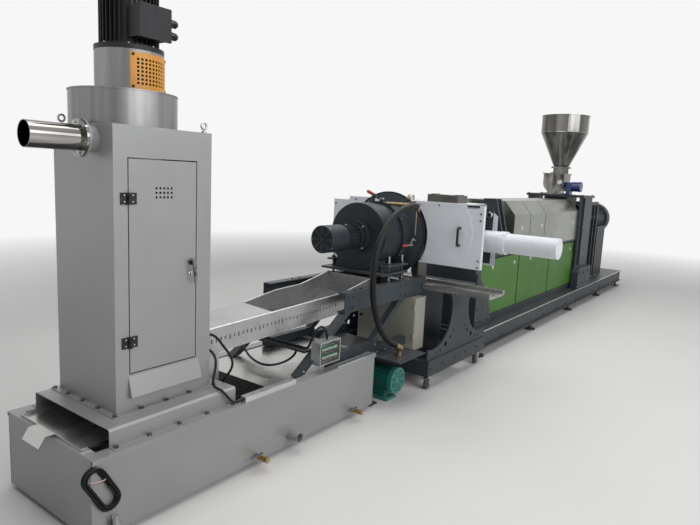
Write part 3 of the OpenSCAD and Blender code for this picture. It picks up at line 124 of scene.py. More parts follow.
def cord(name, route, diameter, sides, solid):
    """Sweeps a route of the drawing and takes the solid's place."""
    lead = smooth_curve(name, [at(*p) for p in route], diameter, sides)
    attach(lead, "line")
    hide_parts(solid)
    return lead


HOSE_ROUTE = [
    (2392, -382, 1352), (2348, -408, 1362), (2285, -424, 1366), (2210, -428, 1360), (2130, -430, 1345),
    (2060, -430, 1318), (1990, -430, 1275), (1930, -430, 1220), (1880, -430, 1155), (1848, -430, 1085),
    (1830, -430, 1010), (1824, -430, 930), (1828, -430, 850), (1842, -430, 775), (1866, -430, 700),
    (1900, -430, 630), (1945, -430, 565), (2000, -430, 508), (2065, -430, 460), (2130, -430, 425)]
hose = cord("water_hose_tube", HOSE_ROUTE, 0.04, 20, "water_hose")

# %% [markdown]
# A hank of spare cable hangs at the tank's corner: flat oval turns in three
# layers, wound in, out and in again. Random loops would cross and cut into
# each other, so the turns follow a flat spiral, one cable thickness apart,
# and each layer lies a thickness nearer to the viewer than the last.

# %% Hank of spare cable
CABLE_D = 0.0082
RUN, OUTER, STEP = 130, 47, 9.5
TURNS = 6.8


def oval(r, turn):
    """A point of a flat oval with straight sides, counted in turns from its top."""
    arc = math.pi * 37.5
    way = (turn % 1) * 2 * (arc + RUN) + arc / 2
    side = 1 if int(way // (arc + RUN)) % 2 == 0 else -1
    way %= arc + RUN
    if way < arc:
        swing = way / arc * math.pi
        return side * r * math.cos(swing), side * (RUN / 2 + r * math.sin(swing))
    return -side * r, side * (RUN / 2 - (way - arc))


def ease(turn, start, end):
    """Rises softly from 0 to 1 between two turns."""
    share = min(1, max(0, (turn - start) / (end - start)))
    return share * share * (3 - 2 * share)


def hank_point(turn):
    """In, out and in again, one layer nearer after each change."""
    inward = min(turn, 2) - min(max(turn - 2.4, 0), 2) + max(turn - 4.8, 0)
    depth = 21.5 - 8.5 * ease(turn, 2, 2.4) - 8.5 * ease(turn, 4.4, 4.8)
    across, along = oval(OUTER - STEP * inward, turn)
    return Vector((37 + 0.866 * across - 0.5 * along, -380.3 + depth, 246 + 0.5 * across + 0.866 * along))


LEAD = [(33, -359, 366), (26, -359, 360), (12, -358.9, 352.5)]
hank_route = LEAD + [hank_point(k / 24) for k in range(int(TURNS * 24))]
cable = cord("spare_cable", hank_route, CABLE_D, 12, "cable_hank")
print(TURNS, "turns in the hank")

# %% [markdown]
# Three black cables belong to the line. One drops from the tower behind the
# weir, one runs from the tower into the duct on the tank's rim, and one goes
# from the terminal box over the cross beam and hangs under it in a loop. All
# three are laid through points that rest on what carries them.

# %% Black cables
TOWER_CABLE = [
    (721.3, -192, 723.9), (736, -193, 722), (756, -197, 712), (776, -203, 693), (795, -210, 665),
    (815, -219, 635), (832, -229, 604), (842, -238, 573), (842, -240, 545), (833, -235, 518),
    (821, -225, 494), (813, -210, 474), (811, -195, 454), (813, -185, 432), (819, -180, 405),
    (828, -180, 372), (838, -182, 343), (848, -184, 325), (854.3, -185, 318.4)]
DUCT_CABLE = [
    (723.4, -188, 644.5), (736, -191, 638), (746, -200, 624), (750, -215, 598), (742, -228, 568),
    (728, -238, 540), (712, -248, 512), (701, -260, 492), (697, -275, 479), (698, -293, 474.5),
    (704, -312, 469), (714, -329, 453), (728, -340, 431), (746, -345, 409), (768, -345, 397),
    (795, -344, 393.5), (824.7, -344, 393)]
BOX_CABLE = [
    (1512, -330, 570.8), (1511, -330, 588), (1505, -329, 612), (1490, -327, 637), (1466, -322, 653),
    (1443, -317, 648), (1427, -309, 628), (1420, -299, 601), (1419, -287, 573), (1423, -272, 545),
    (1430, -254, 524), (1436, -232, 511), (1439, -205, 507.6), (1440, -150, 507.4), (1440, -80, 507.4),
    (1440, 0, 507.4), (1440, 80, 507.4), (1439, 140, 507.6), (1434, 180, 508.2), (1420, 208, 508.6),
    (1398, 221, 508.4), (1379, 220, 504.5), (1356, 211, 491), (1330, 190, 472), (1308, 160, 455),
    (1282, 112, 440), (1261, 58, 428), (1247, 0, 420), (1243, -50, 416), (1252, -95, 416), (1280, -126, 419),
    (1320, -144, 425), (1362, -152, 433), (1400, -154, 445), (1424, -153, 458), (1436, -151.5, 470),
    (1442, -150, 485)]
black_cables = [cord(name + "_jacket", route, size, 12, name)
                for name, route, size in (("tower_cable", TOWER_CABLE, 0.013), ("duct_cable", DUCT_CABLE, 0.013),
                                          ("box_cable", BOX_CABLE, 0.014))]

# %% [markdown]
# ## Finishes
#
# Paint and sheet metal are never one even colour. Broad noise shifts the
# colour a little, finer noise breaks the gloss and the surface, and dust lies
# on faces that look up. One recipe with a few knobs can serve every finish
# here, which keeps the whole line in one light.

# %% The paint-and-sheet recipe
def feed(tree, made, inputs):
    """Sets inputs to numbers or colours, or links them to another node's socket."""
    for key, value in inputs.items():
        if isinstance(value, bpy.types.NodeSocket):
            tree.links.new(value, made.inputs[key])
        else:
            made.inputs[key].default_value = value


def node(tree, kind, inputs=None, **settings):
    """A new shader node with its settings made and its inputs fed."""
    made = tree.nodes.new("ShaderNode" + kind)
    for key, value in settings.items():
        setattr(made, key, value)
    feed(tree, made, inputs or {})
    return made


def noise(tree, place, scale, detail=4.0, rough=0.55):
    inputs = {"Scale": scale, "Detail": detail, "Roughness": rough, "Vector": place}
    return node(tree, "TexNoise", inputs).outputs["Fac"]


def spread(tree, value, low, high, from_low=0.3, from_high=0.7):
    inputs = {"Value": value, "From Min": from_low, "From Max": from_high, "To Min": low, "To Max": high}
    return node(tree, "MapRange", inputs).outputs["Result"]


def blend_colour(tree, share, first, second):
    return node(tree, "Mix", {0: share, 6: first, 7: second}, data_type="RGBA").outputs[2]


def stretched(tree, place, scale):
    return node(tree, "Mapping", {"Scale": scale, "Vector": place}).outputs[0]


def finish(name, colour, gloss, metal=0.0, shift=0.08, broad=2.2, dust=0.0, dust_colour=(0.32, 0.29, 0.25),
           grain=420.0, bump=0.03, lines=None, streaks=None, coat=0.0, shine=0.5, stain=0.0,
           stain_colour=(0.2, 0.17, 0.13), detail=4.0, on=""):
    """Colour clouds, stains, dust on top, gloss and skin; "on" names the solids it covers."""
    material = bpy.data.materials.new(name)
    material.use_nodes = True
    tree = material.node_tree
    place = node(tree, "TexCoord").outputs["Object"]
    # Stretched clouds make streaks; several finishes below use them as painted reflections and sheen.
    cloud = noise(tree, stretched(tree, place, streaks) if streaks else place, 1.0 if streaks else broad, detail)
    darker, lighter = ((*(min(1.0, c * k) for c in colour), 1) for k in (1 - shift, 1 + shift))
    result = blend_colour(tree, spread(tree, cloud, 0, 1), darker, lighter)
    if stain:
        spots = spread(tree, noise(tree, place, broad * 5, 8, 0.7), 0, stain, 0.52, 0.8)
        result = blend_colour(tree, spots, result, (*stain_colour, 1))
    if dust:
        skin = node(tree, "SeparateXYZ", {0: node(tree, "NewGeometry").outputs["Normal"]})
        flat = spread(tree, skin.outputs["Z"], 0, dust, 0.55, 1.0)
        patchy = spread(tree, noise(tree, place, 9), 0.35, 1)
        patch = node(tree, "Math", {0: flat, 1: patchy}, operation="MULTIPLY")
        result = blend_colour(tree, patch.outputs[0], result, (*dust_colour, 1))
    rough = spread(tree, noise(tree, place, broad * 4, 2), max(0.03, gloss - 0.04), gloss + 0.06)
    shader = tree.nodes["Principled BSDF"]
    feed(tree, shader, {"Base Color": result, "Roughness": rough, "Metallic": metal, "Coat Weight": coat,
                        "Coat Roughness": 0.12, "Specular IOR Level": shine})
    if bump:
        skin_noise = noise(tree, stretched(tree, place, lines) if lines else place, 1.0 if lines else grain, 3)
        raised = node(tree, "Bump", {"Strength": bump, "Distance": 0.002, "Height": skin_noise})
        feed(tree, shader, {"Normal": raised.outputs[0]})
    for key in on.split():
        for socket in nodes[key].material_slots:
            socket.material = material
    return material


# %% [markdown]
# The tank, the tower and the chute were sprayed with one satin silver paint.
# It holds metal flakes, so it is part metal and part paint. The screws,
# covers and pipes are real stainless steel: brushed sheet shows fine lines
# along its rolling direction, polished tube is nearly a mirror. Streaky colour
# bands are painted on some of them: painted sheen on the collar and the motor
# pedestal, painted reflections on the slide plate, the outlet pipe, the hopper
# and the feeder chamber.

# %% Silver paint and stainless steel
silver = finish(
    "satin_silver_paint", (0.3, 0.303, 0.306), 0.36, metal=0.28, shift=0.07, broad=1.3, shine=0.35, grain=900,
    bump=0.04, dust=0.15, dust_colour=(0.42, 0.41, 0.39), stain=0.06,
    on="water_tank hat_cover tower_cabinet tower_door outlet_spigot")
# Painted sheen: vertical colour streaks on the collar and the motor pedestal stand for gloss streaks.
finish("silver_sheet_painted_sheen", (0.21, 0.21, 0.21), 0.3, metal=0.6, shift=0.45, streaks=(10, 10, 0.5), grain=900,
    on="discharge_collar motor_pedestal")
chute_steel = finish(
    "stained_silver_sheet", (0.37, 0.37, 0.37), 0.27, metal=0.6, shift=0.22, broad=2.4, grain=700, bump=0.04,
    stain=0.2, stain_colour=(0.16, 0.155, 0.15), on="chute")
finish("brushed_stainless", (0.46, 0.455, 0.44), 0.26, metal=1, broad=1.5, lines=(6, 90, 90), bump=0.003,
    on="tank_screens sieve_tray screen_drum")
# Painted reflection: strong colour bands along the slide plate stand for its dark and bright reflections; the fine
# bump lines are grinding marks.
finish("slide_steel_painted_reflection", (0.4, 0.4, 0.39), 0.28, metal=0.85, shift=0.55, streaks=(14, 0.8, 14),
    lines=(120, 4, 120), bump=0.01, on="slide_plate")
cover_steel = finish(
    "pale_stainless_cover", (0.22, 0.231, 0.207), 0.26, metal=0.85, shift=0.16, streaks=(1.2, 0.4, 0.6), bump=0,
    detail=0.0, on="barrel_covers")
mirror_steel = finish(
    "polished_stainless", (0.5, 0.49, 0.47), 0.09, metal=1, shift=0.25, broad=14, grain=60, bump=0.015,
    on="chamber_levers")
finish("cast_chrome", (0.25, 0.245, 0.235), 0.12, metal=1, shift=0.8, broad=45, grain=60, bump=0.02, on="door_handle")
# Painted reflection: colour bands along the outlet pipe stand for the reflections on a polished tube.
finish("polished_pipe_painted_reflection", (0.3, 0.29, 0.275), 0.09, metal=1, shift=0.75, streaks=(1.1, 21, 21), grain=60, bump=0.015,
    on="outlet_pipe")
# Painted reflection: dark and light streaks on the hopper and the feeder chamber stand for the reflections of
# polished steel.
finish("polished_hopper_painted_reflection", (0.12, 0.117, 0.11), 0.1, metal=1, shift=0.9, streaks=(8, 8, 0.9), bump=0, detail=1.0,
    on="hopper")
finish("polished_chamber_painted_reflection", (0.15, 0.145, 0.135), 0.1, metal=1, shift=0.85, streaks=(16, 16, 5), bump=0, detail=1.0,
    on="feeder_chamber")
print("silver and stainless finishes set")

# %% [markdown]
# The machine frames are painted dark blue-grey over cast and welded steel.
# Such paint is slightly orange-peeled, catches pale dust on its top faces and
# wears a little lighter. Castings get a coarser skin than plates.

# %% Frame paint, cast housings and hood
frame_paint = finish(
    "blue_grey_paint", (0.034, 0.043, 0.051), 0.4, shift=0.2, broad=3.2, dust=0.13, grain=260, bump=0.08, shine=0.2,
    on="frame_rails frame_braces pelletizer_base cart_frame bulkheads extruder_base machine_body feed_stand")
cast_paint = finish(
    "cast_blue_grey_paint", (0.022, 0.028, 0.034), 0.44, shift=0.22, broad=7, dust=0.1, grain=120, bump=0.18,
    shine=0.2, on="cutter_motor cutter_housing water_chamber gearbox main_motor")
white_paint = finish(
    "glossy_white_coat", (0.66, 0.69, 0.73), 0.28, shift=0.03, broad=1.5, grain=500, bump=0.03, coat=0.15,
    dust=0.12, on="hood_front hood_door hood_shell cylinder_cover")
finish("leaf_green_paint", (0.056, 0.16, 0.024), 0.4, shift=0.14, broad=2.4, grain=350, bump=0.06, shine=0.2,
    on="side_panels")
finish("orange_guard_coat", (0.62, 0.27, 0.028), 0.4, shift=0.1, broad=8, grain=500, bump=0.06, on="vent_guard")
black_paint = finish(
    "black_motor_paint", (0.009, 0.01, 0.012), 0.42, shift=0.3, broad=9, grain=180, bump=0.12, dust=0.06, shine=0.3,
    on="tower_motor")
beige_paint = finish("beige_box_paint", (0.28, 0.275, 0.235), 0.42, broad=3, dust=0.12, on="heater_box")
print("paints set")

# %% [markdown]
# The small bought-in parts keep their makers' finishes: a blue-green pump, a
# blue gearmotor, brass fittings, zinc-plated forks, black plastic hinges and
# grey plastic wheels.

# %% Bought-in parts
finish("blue_green_pump_paint", (0.012, 0.17, 0.14), 0.3, shift=0.2, broad=10, grain=200, bump=0.08, dust=0.3,
    coat=0.2, on="water_pump")
finish("blue_motor_paint", (0.008, 0.03, 0.13), 0.3, shift=0.2, broad=10, grain=200, bump=0.08, coat=0.2,
    on="feeder_motor")
brass = finish(
    "cast_brass", (0.32, 0.25, 0.155), 0.33, metal=1, shift=0.25, broad=30, grain=400, bump=0.1, stain=0.4,
    on="hose_fittings")
finish("valve_brass", (0.43, 0.33, 0.12), 0.28, metal=1, shift=0.4, broad=50, grain=400, bump=0.08, stain=0.3,
    on="drain_valves")
zinc = finish(
    "zinc_plated_steel", (0.4, 0.4, 0.39), 0.3, metal=1, shift=0.2, broad=25, grain=500, bump=0.08, stain=0.2,
    on="leveling_feet lifting_eyes caster_forks")
bolt_steel = finish(
    "dull_bolt_steel", (0.13, 0.127, 0.12), 0.3, metal=0.95, shift=0.3, broad=60, grain=500, bump=0.06)
# A pale steel for the latches, also used for painted highlights on the chute's rims and the base's edges.
bright_steel_and_highlight = finish("bright_steel_and_painted_highlight", (0.72, 0.72, 0.71), 0.3, metal=0.35, broad=9, bump=0.02)
finish("plain_aluminium_duct", (0.6, 0.61, 0.62), 0.3, metal=0.9, shift=0.05, broad=6, lines=(4, 400, 400), bump=0.05,
    on="cable_duct terminal_box")
black_plastic = finish(
    "black_plastic", (0.011, 0.011, 0.011), 0.44, shift=0.2, broad=20, grain=900, bump=0.05, shine=0.35,
    on="door_hinges hinge_leaves hood_handle")
rubber = finish(
    "black_rubber", (0.007, 0.007, 0.008), 0.4, shift=0.3, broad=14, grain=350, bump=0.1, shine=0.2,
    on="water_hose cable_hank tower_cable duct_cable box_cable")
finish("caster_tread", (0.05, 0.05, 0.052), 0.5, shift=0.2, broad=30, dust=0.2, on="caster_wheels")
dark_steel = finish(
    "heat_marked_steel", (0.11, 0.105, 0.1), 0.4, metal=0.7, shift=0.3, broad=8, grain=150, bump=0.12, stain=0.3,
    on="screen_changer barrel roof_cap")
for lead in (hose, cable, *black_cables):
    lead.data.materials.append(rubber)
print("bought-in parts set")

# %% [markdown]
# ## Helpers for the small parts
#
# Bolts, screws, seams and knobs are drawn in bmesh. A bolt could be set by
# hand, but then every one needs its own height. Here a ray is shot at the
# solid that carries it, so it always lands on the surface.

# %% Seat a small part on a solid
from mathutils.bvhtree import BVHTree

AXES = {"+x": Vector((1, 0, 0)), "-x": Vector((-1, 0, 0)), "+y": Vector((0, 1, 0)), "-y": Vector((0, -1, 0)),
        "+z": Vector((0, 0, 1))}
trees = {}


def surface(key):
    if key not in trees:
        mesh = nodes[key].data
        trees[key] = BVHTree.FromPolygons([v.co.copy() for v in mesh.vertices],
                                          [tuple(f.vertices) for f in mesh.polygons])
    return trees[key]


def facing(place, side):
    """A matrix at the place whose Z axis points to the side."""
    out = AXES[side] if isinstance(side, str) else Vector(side)
    return Matrix.Translation(place) @ out.to_track_quat("Z", "Y").to_matrix().to_4x4()


def seat(key, x, y, z, side, reach=0.12):
    """A place on the solid's skin, found by a ray from outside."""
    out = AXES[side] if isinstance(side, str) else Vector(side).normalized()
    for nudge in (0, 0.0007, -0.0009):
        start = at(x, y, z) + out * reach + out.orthogonal().normalized() * nudge
        place = surface(key).ray_cast(start, -out, reach * 2)[0]
        if place is not None:
            return facing(place, side)
    print("nothing under", key, x, y, z, side)
    return facing(at(x, y, z), side)


def standing(x, y, z, side="+z"):
    return facing(at(x, y, z), side)


first_seat = seat("hat_cover", 285, -332, 384, "+z").translation
print("helpers ready, first bolt seat at", tuple(round(v, 3) for v in first_seat))

# %% [markdown]
# Every small part is drawn on one bench mesh: turned like on a lathe, sawn as
# a bevelled slab, or swept along a path. Piece() then lifts off what lies on
# the bench and gives it its finish.

# %% Turned, bevelled and swept shapes
bench = bmesh.new()


def stitch(rings):
    """Faces between neighbouring rings; a ring of one point closes an end."""
    for low, high in zip(rings, rings[1:]):
        steps = max(len(low), len(high))
        for k in range(steps):
            j = (k + 1) % steps
            corners = low[k % len(low)], low[j % len(low)], high[j % len(high)], high[k % len(high)]
            bench.faces.new(tuple(dict.fromkeys(corners)))


def turned(profile, place, steps=24, size=1):
    """Turns (radius, height) pairs in millimetres about the place's Z axis."""
    rings = []
    for radius, height in profile:
        radius, height = radius * size / 1000, height * size / 1000
        turns = (k * math.tau / steps for k in range(steps)) if radius > 0 else (0,)
        rings.append([bench.verts.new(place @ Vector((radius * math.cos(a), radius * math.sin(a), height)))
                      for a in turns])
    stitch(rings)


def slab(lo, hi, place=Matrix.Translation(at(0, 0, 0)), bevel=1.0, segments=1):
    """A box between two opposite corners in millimetres, with bevelled edges."""
    size = [abs(b - a) / 1000 for a, b in zip(lo, hi)]
    mid = Vector([(a + b) / 2000 for a, b in zip(lo, hi)])
    frame_of = place @ Matrix.Translation(mid) @ Matrix.Diagonal((*size, 1))
    made = bmesh.ops.create_cube(bench, size=1, matrix=frame_of)
    edges = {e for v in made["verts"] for e in v.link_edges}
    if bevel:
        bmesh.ops.bevel(bench, geom=list(edges), offset=min(bevel / 1000, min(size) * 0.45),
                        segments=segments, affect="EDGES", profile=0.6)


def swept(points, radius, wobble=0.0, sides=6):
    """A round rod or bead along points in the drawing's millimetres."""
    path = [at(*p) for p in points]
    normal = None
    rings = []
    for k, here in enumerate(path):
        way = (path[min(k + 1, len(path) - 1)] - path[max(k - 1, 0)]).normalized()
        if normal is None:
            normal = way.orthogonal().normalized()
        normal = (normal - way * normal.dot(way)).normalized()
        cross = way.cross(normal)
        r = radius / 1000 * (1 + wobble * (random.random() - 0.5))
        rings.append([bench.verts.new(here + r * (math.cos(a) * normal + math.sin(a) * cross))
                      for a in (j * math.tau / sides for j in range(sides))])
    stitch(rings)
    bench.faces.new(rings[0][::-1])
    bench.faces.new(rings[-1])


def piece(name, material, body="line", angle=38):
    """Lifts off what is on the bench into a new object with the finish."""
    mesh = bpy.data.meshes.new(name)
    bmesh.ops.recalc_face_normals(bench, faces=bench.faces)
    bench.to_mesh(mesh)
    bench.clear()
    mesh.materials.append(material)
    mesh.polygons.foreach_set("use_smooth", [True] * len(mesh.polygons))
    mesh.set_sharp_from_angle(angle=math.radians(angle))
    made = put(name, mesh)
    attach(made, body)


# %% [markdown]
# A hexagon bolt is a washer, a six-sided head with its corners turned off and
# a low dome. One lathe routine makes all three: with six steps instead of
# twenty-four it turns a hexagon. Profiles are drawn for size one and scaled.

# %% Bolts and screws
WASHER = ((0, 0), (1.05, 0), (1.05, 0.12), (1, 0.18), (0, 0.18))
HEXAGON = ((0, 0.18), (0.92, 0.18), (0.98, 0.7325), (0.8, 0.83), (0, 0.843))
SOCKET = ((0, 0), (0.95, 0), (1, 0.1), (1, 0.85), (0.85, 1), (0.5, 1), (0.48, 0.45), (0, 0.4))
PAN = ((0, 0), (1, 0), (1, 0.2), (0.75, 0.5), (0.3, 0.58), (0.25, 0.35), (0, 0.3))


def hex_bolt(place, size):
    turned(WASHER, place, 20, size)
    turned(HEXAGON, place @ Matrix.Rotation(random.uniform(0, math.pi / 3), 4, "Z"), 6, size)


def socket_screw(place, size):
    turned(SOCKET, place, 18, size)


def pan_screw(place, size):
    turned(PAN, place, 16, size)


def bolted(name, spots, size, material, maker=hex_bolt, body="line"):
    """One piece with a bolt at each (solid, x, y, z, side, reach of the ray)."""
    for spot in spots:
        maker(seat(*spot), size)
    piece(name, material, body)


def grid(key, xs, ys, zs, side="+z", reach=0.12):
    """Spots at every crossing of stations; side "y" faces away from the screw axis."""
    xs, ys, zs = ((v,) if isinstance(v, (int, float)) else v for v in (xs, ys, zs))
    return [(key, x, y, z, ("+y" if y > 0 else "-y") if side == "y" else side, reach)
            for x in xs for y in ys for z in zs]


# %% [markdown]
# ## Tank and drying tower
#
# The cover is bolted to the tank's rim and the tower to the cover. The hinges
# are screwed on through both leaves.

# %% Bolts of the cover and the tower
cover_bolts = grid("hat_cover", (125, 285, 445, 605, 765), (-332, 332), 392)
flange_z = seat("tower_cabinet", 189, 47, 470, "+z").translation.z * 1000
foot_bolts = grid("tower_cabinet", (188, 321, 454, 587, 735), (-220, 292), flange_z + 4, reach=0.012)
foot_bolts += grid("tower_cabinet", 189, (-81, 47, 175), 470) + grid("tower_cabinet", 736, 175, 470)
bolted("cover_bolts", cover_bolts, 11, bolt_steel)
bolted("tower_foot_bolts", foot_bolts, 11, bolt_steel)
HINGE_SCREW_Z = (764, 792, 1394, 1422)
fixed_screws = grid("door_hinges", 253.5, -220, HINGE_SCREW_Z, "-y")
leaf_screws = grid("hinge_leaves", 293.5, -220, HINGE_SCREW_Z, "-y")
bolted("hinge_screws", fixed_screws, 4.2, zinc, pan_screw)
bolted("hinge_leaf_screws", leaf_screws, 4.2, zinc, pan_screw, body="tower_door")
print(len(cover_bolts) + len(foot_bolts), "bolts and", len(fixed_screws) + len(leaf_screws), "hinge screws")

# %% [markdown]
# The guard over the shaft window has a black screw in each corner, and the
# motor's foot ring is bolted down all round. Screws on a round tube point
# outwards, so their places come from an angle instead of from X and Y.

# %% Tower top
def ring(centre, radius, axis, turns):
    """Points on a circle about an axis, each with its way out from the centre."""
    for turn in turns:
        c, s = math.cos(turn), math.sin(turn)
        out = {"x": (0, c, s), "y": (c, 0, s), "z": (c, s, 0)}[axis]
        yield tuple(a + radius * b for a, b in zip(centre, out)), out


def around(key, centre, radius, axis, turns, side=None, reach=0.12):
    """Spots on a circle; without a side they face outwards."""
    return [(key, *place, side or out, reach) for place, out in ring(centre, radius, axis, turns)]


def hoop(centre, radius, axis, count, thick, wobble=0.0):
    """A bead that runs once round a circle."""
    turns = [k * math.tau / count for k in range(count + 1)]
    swept([place for place, out in ring(centre, radius, axis, turns)], thick, wobble)


def evenly(count, start):
    return [start + k * math.tau / count for k in range(count)]


PEDESTAL, COLLAR = (450, 50), (420, 50)
guard = [spot for turn in (-117.5, -40.5) for z in (1892, 2028)
         for spot in around("vent_guard", (*PEDESTAL, z), 155, "z", [math.radians(turn)])]
bolted("guard_screws", guard, 6.5, black_plastic, pan_screw)
foot_ring = around("tower_motor", (*PEDESTAL, 2074), 141, "z", evenly(8, 0.2), "+z", 0.01)
bolted("motor_foot_bolts", foot_ring, 6, zinc)
lid_screws = grid("tower_motor", (378, 522), -160, (2101, 2229), "-y")
bolted("motor_lid_screws", lid_screws, 4.5, black_plastic, pan_screw)
for z in (2134, 2188):
    turned([(0, 0), (19, 0), (19, 22), (16, 25), (0, 25)], standing(544, -110, z, "+x"), 6)
    turned([(0, 0), (17.5, 0.5), (17.5, 12), (12, 20), (0, 22)], standing(568, -110, z, "+x"), 20)
piece("motor_cable_glands", black_plastic)

hoop((*COLLAR, 1716), 236, "z", 90, 2.4, 0.5)
hoop((*PEDESTAL, 1871), 152, "z", 90, 2.4, 0.5)
for (x, y, _), out in ring((*COLLAR, 0), 235, "z", [-0.695]):
    swept([(x, y, z) for z in range(1719, 1869, 6)], 1.5, 0.4)
hoop((*COLLAR, 1869), 235, "z", 90, 2.2)
piece("tower_top_seams", silver)
print("guard screws, foot ring bolts, glands and weld seams")

# %% [markdown]
# Weld beads and the joints of the folded rim show how the tank was made. A
# bead is a swept tube whose thickness wobbles a little from ring to ring. The
# brass valves get blue sleeves on their levers.

# %% Tank seams and valve sleeves
for x, y in ((0, -354), (0, 354), (2000, -354), (2000, 354)):
    swept([(x, y, z) for z in range(27, 356, 8)], 1.8, 0.5)
for y in (-265, 265):
    swept([(x, y, 380.2) for x in range(1, 50, 6)], 0.9, 0.3)
hoop((1175, -355, 93), 28.5, "y", 40, 2.6, 0.5)
for x in (207, 718):
    swept([(x, y, 465.5) for y in range(-200, 280, 10)], 1.8, 0.5)
swept([(x, -206, 466) for x in range(208, 718, 10)], 1.8, 0.5)
piece("tank_weld_beads", silver)
bolted("rim_screws", grid("water_tank", 22, (-215, 120), 384), 3.6, zinc, pan_screw)

valve_blue = finish("blue_valve_sleeve", (0.02, 0.09, 0.32), 0.4, shift=0.15, broad=40, grain=900, bump=0.04)
for x in (910, 1750):
    slab((x - 76, -409, 85.6), (x - 12, -399, 92.6), bevel=2.4, segments=2)
    turned([(0, 0), (5, 0), (5.5, 3), (4, 5), (0, 5)], standing(x, -404, 91), 6)
piece("valve_sleeves", valve_blue)
for x in (910, 1750):
    for y, r in ((-449, 15.5), (-432, 16.5), (-376, 16.5)):
        turned([(r - 3, 0), (r, 1), (r, 7), (r - 3, 8)], standing(x, y, 65, "+y"), 8)
piece("valve_nuts", brass)
print("tank beads, rim screws and valve sleeves")

# %% [markdown]
# The chute was drilled with a long row of weep holes. The solid has every
# third one, which keeps it light, and the rest are discs painted near-black
# for the shade inside a hole, with the raised edge that a drill leaves. A
# stained streak of its own length hangs under each.

# %% Weep holes between the drilled ones
CHUTE_X, CHUTE_Z, CHUTE_BEND = 720, 595, 1480 * 0.788
GENTLE, STEEP = math.tan(math.radians(2.1)), math.tan(math.radians(11.2))


def chute_floor(x):
    """Height of the sloping floor, which gets steeper at the bend."""
    return min(x, CHUTE_BEND) * GENTLE + max(x - CHUTE_BEND, 0) * STEEP


# Painted shade: near-black discs and ovals stand in for the shade inside holes and slots.
painted_hole_shade = finish("painted_hole_shade", (0.008, 0.008, 0.008), 0.8, shift=0.2, broad=60, grain=400, bump=0.05)
streak_stain = finish(
    "water_streak", (0.07, 0.068, 0.064), 0.4, metal=0.4, shift=0.3, broad=40, grain=300, bump=0.05)
weep_spots = [standing(CHUTE_X + x, -150, CHUTE_Z + chute_floor(x) + 78, "-y")
              for x in (60 + 94 / 3 * k for k in range(34))]
for k, spot in enumerate(weep_spots):
    if k % 3:
        turned([(0, 0.25), (3.7, 0.25), (3.9, 0)], spot, 18)
piece("weep_hole_painted_shade", painted_hole_shade)
for spot in weep_spots:
    turned([(4.0, 0), (4.2, 0.7), (4.9, 0.5), (5.3, 0)], spot, 20)
piece("weep_hole_edges", chute_steel)
for spot in weep_spots:
    slab((-4.4, -4 - random.uniform(9, 20), 0.0), (4.4, -1.5, 0.35), spot, bevel=0.3)
piece("weep_hole_streaks", streak_stain)
# Painted highlight: bright rods along the chute's top rims stand for the light the rims catch.
for corners in ([(1, -157), (1486, -157)], [(545, 131), (918, 227), (1486, 227)]):
    line = []
    for (x0, y0), (x1, y1) in zip(corners, corners[1:]):
        line += [(x0 + (x1 - x0) * k / 30, y0 + (y1 - y0) * k / 30) for k in range(31)]
    swept([(CHUTE_X + x, y, CHUTE_Z + chute_floor(x) + 139.5) for x, y in line], 4.0, 0.06, 8)
piece("chute_rim_highlights", bright_steel_and_highlight)
chute_screws = [("chute", CHUTE_X + x, -150, CHUTE_Z + chute_floor(x) + 24, "-y", 0.02)
                for x in (1210, 1300, 1390)]
bolted("chute_screws", chute_screws, 4.5, zinc, pan_screw)
print(len(weep_spots), "weep hole edges, last one at", [round(v, 3) for v in spot.translation])

# %% [markdown]
# ## Pelletizer
#
# The base plate stands on adjusting studs with three nuts each. Threads could
# be real helices, but at this size thin rings with a sharp edge look the same
# and need far fewer faces.

# %% Threaded studs
def thread(x, y, low, high, radius, pitch=2.5):
    profile = [(0, 0)]
    for k in range(int((high - low) / pitch)):
        profile += [(radius * 1.02, k * pitch), (radius * 1.14, (k + 0.5) * pitch)]
    profile += [(radius * 0.9, high - low), (0, high - low)]
    turned(profile, standing(x, y, low), 14)


for x in (2285, 2457):
    for y in (-248, 248):
        thread(x, y, 829, 852, 8)
        thread(x, y, 950, 997, 8)
        for z, r in ((815.2, 17), (829, 16.5), (934, 17), (950, 15.5)):
            turned([(8, 0), (r, 0.2), (r, 2), (8, 2.4)], standing(x, y, z), 20)
piece("stud_threads", zinc)
rail_bolts = grid("frame_rails", (1850, 1925, 2560, 2640), (-268, 268), 830, reach=0.05)
for y in (-310, 310):
    rail_bolts += grid("frame_rails", (1755, 1800, 2375, 2440), y, (715, 785), "y", 0.05)
bolted("rail_bolts", rail_bolts, 7.5, frame_paint)
brace_bolts = [("frame_braces", x, -300, z, "-y", 0.05)
               for x, z in ((1345, 400), (2120, 350), (2220, 350), (2085, 410))]
bolted("brace_bolts", brace_bolts, 7, zinc)
print("threads and", len(rail_bolts) + len(brace_bolts), "frame bolts")

# %% [markdown]
# Around the drums sit small bright parts: flange bolts of the cutter motor,
# bolts on the rims, the hose clamp and the clamp lever with its red grip. They
# catch the light and make the dark castings readable.

# %% Bolts on the drums
EIGHTHS = evenly(8, math.radians(22.5))


def on_axis(key, x, radius, degrees, side=None, reach=0.12):
    return around(key, (x, 0, AXIS_H), radius, "x", [math.radians(d) for d in degrees], side, reach)


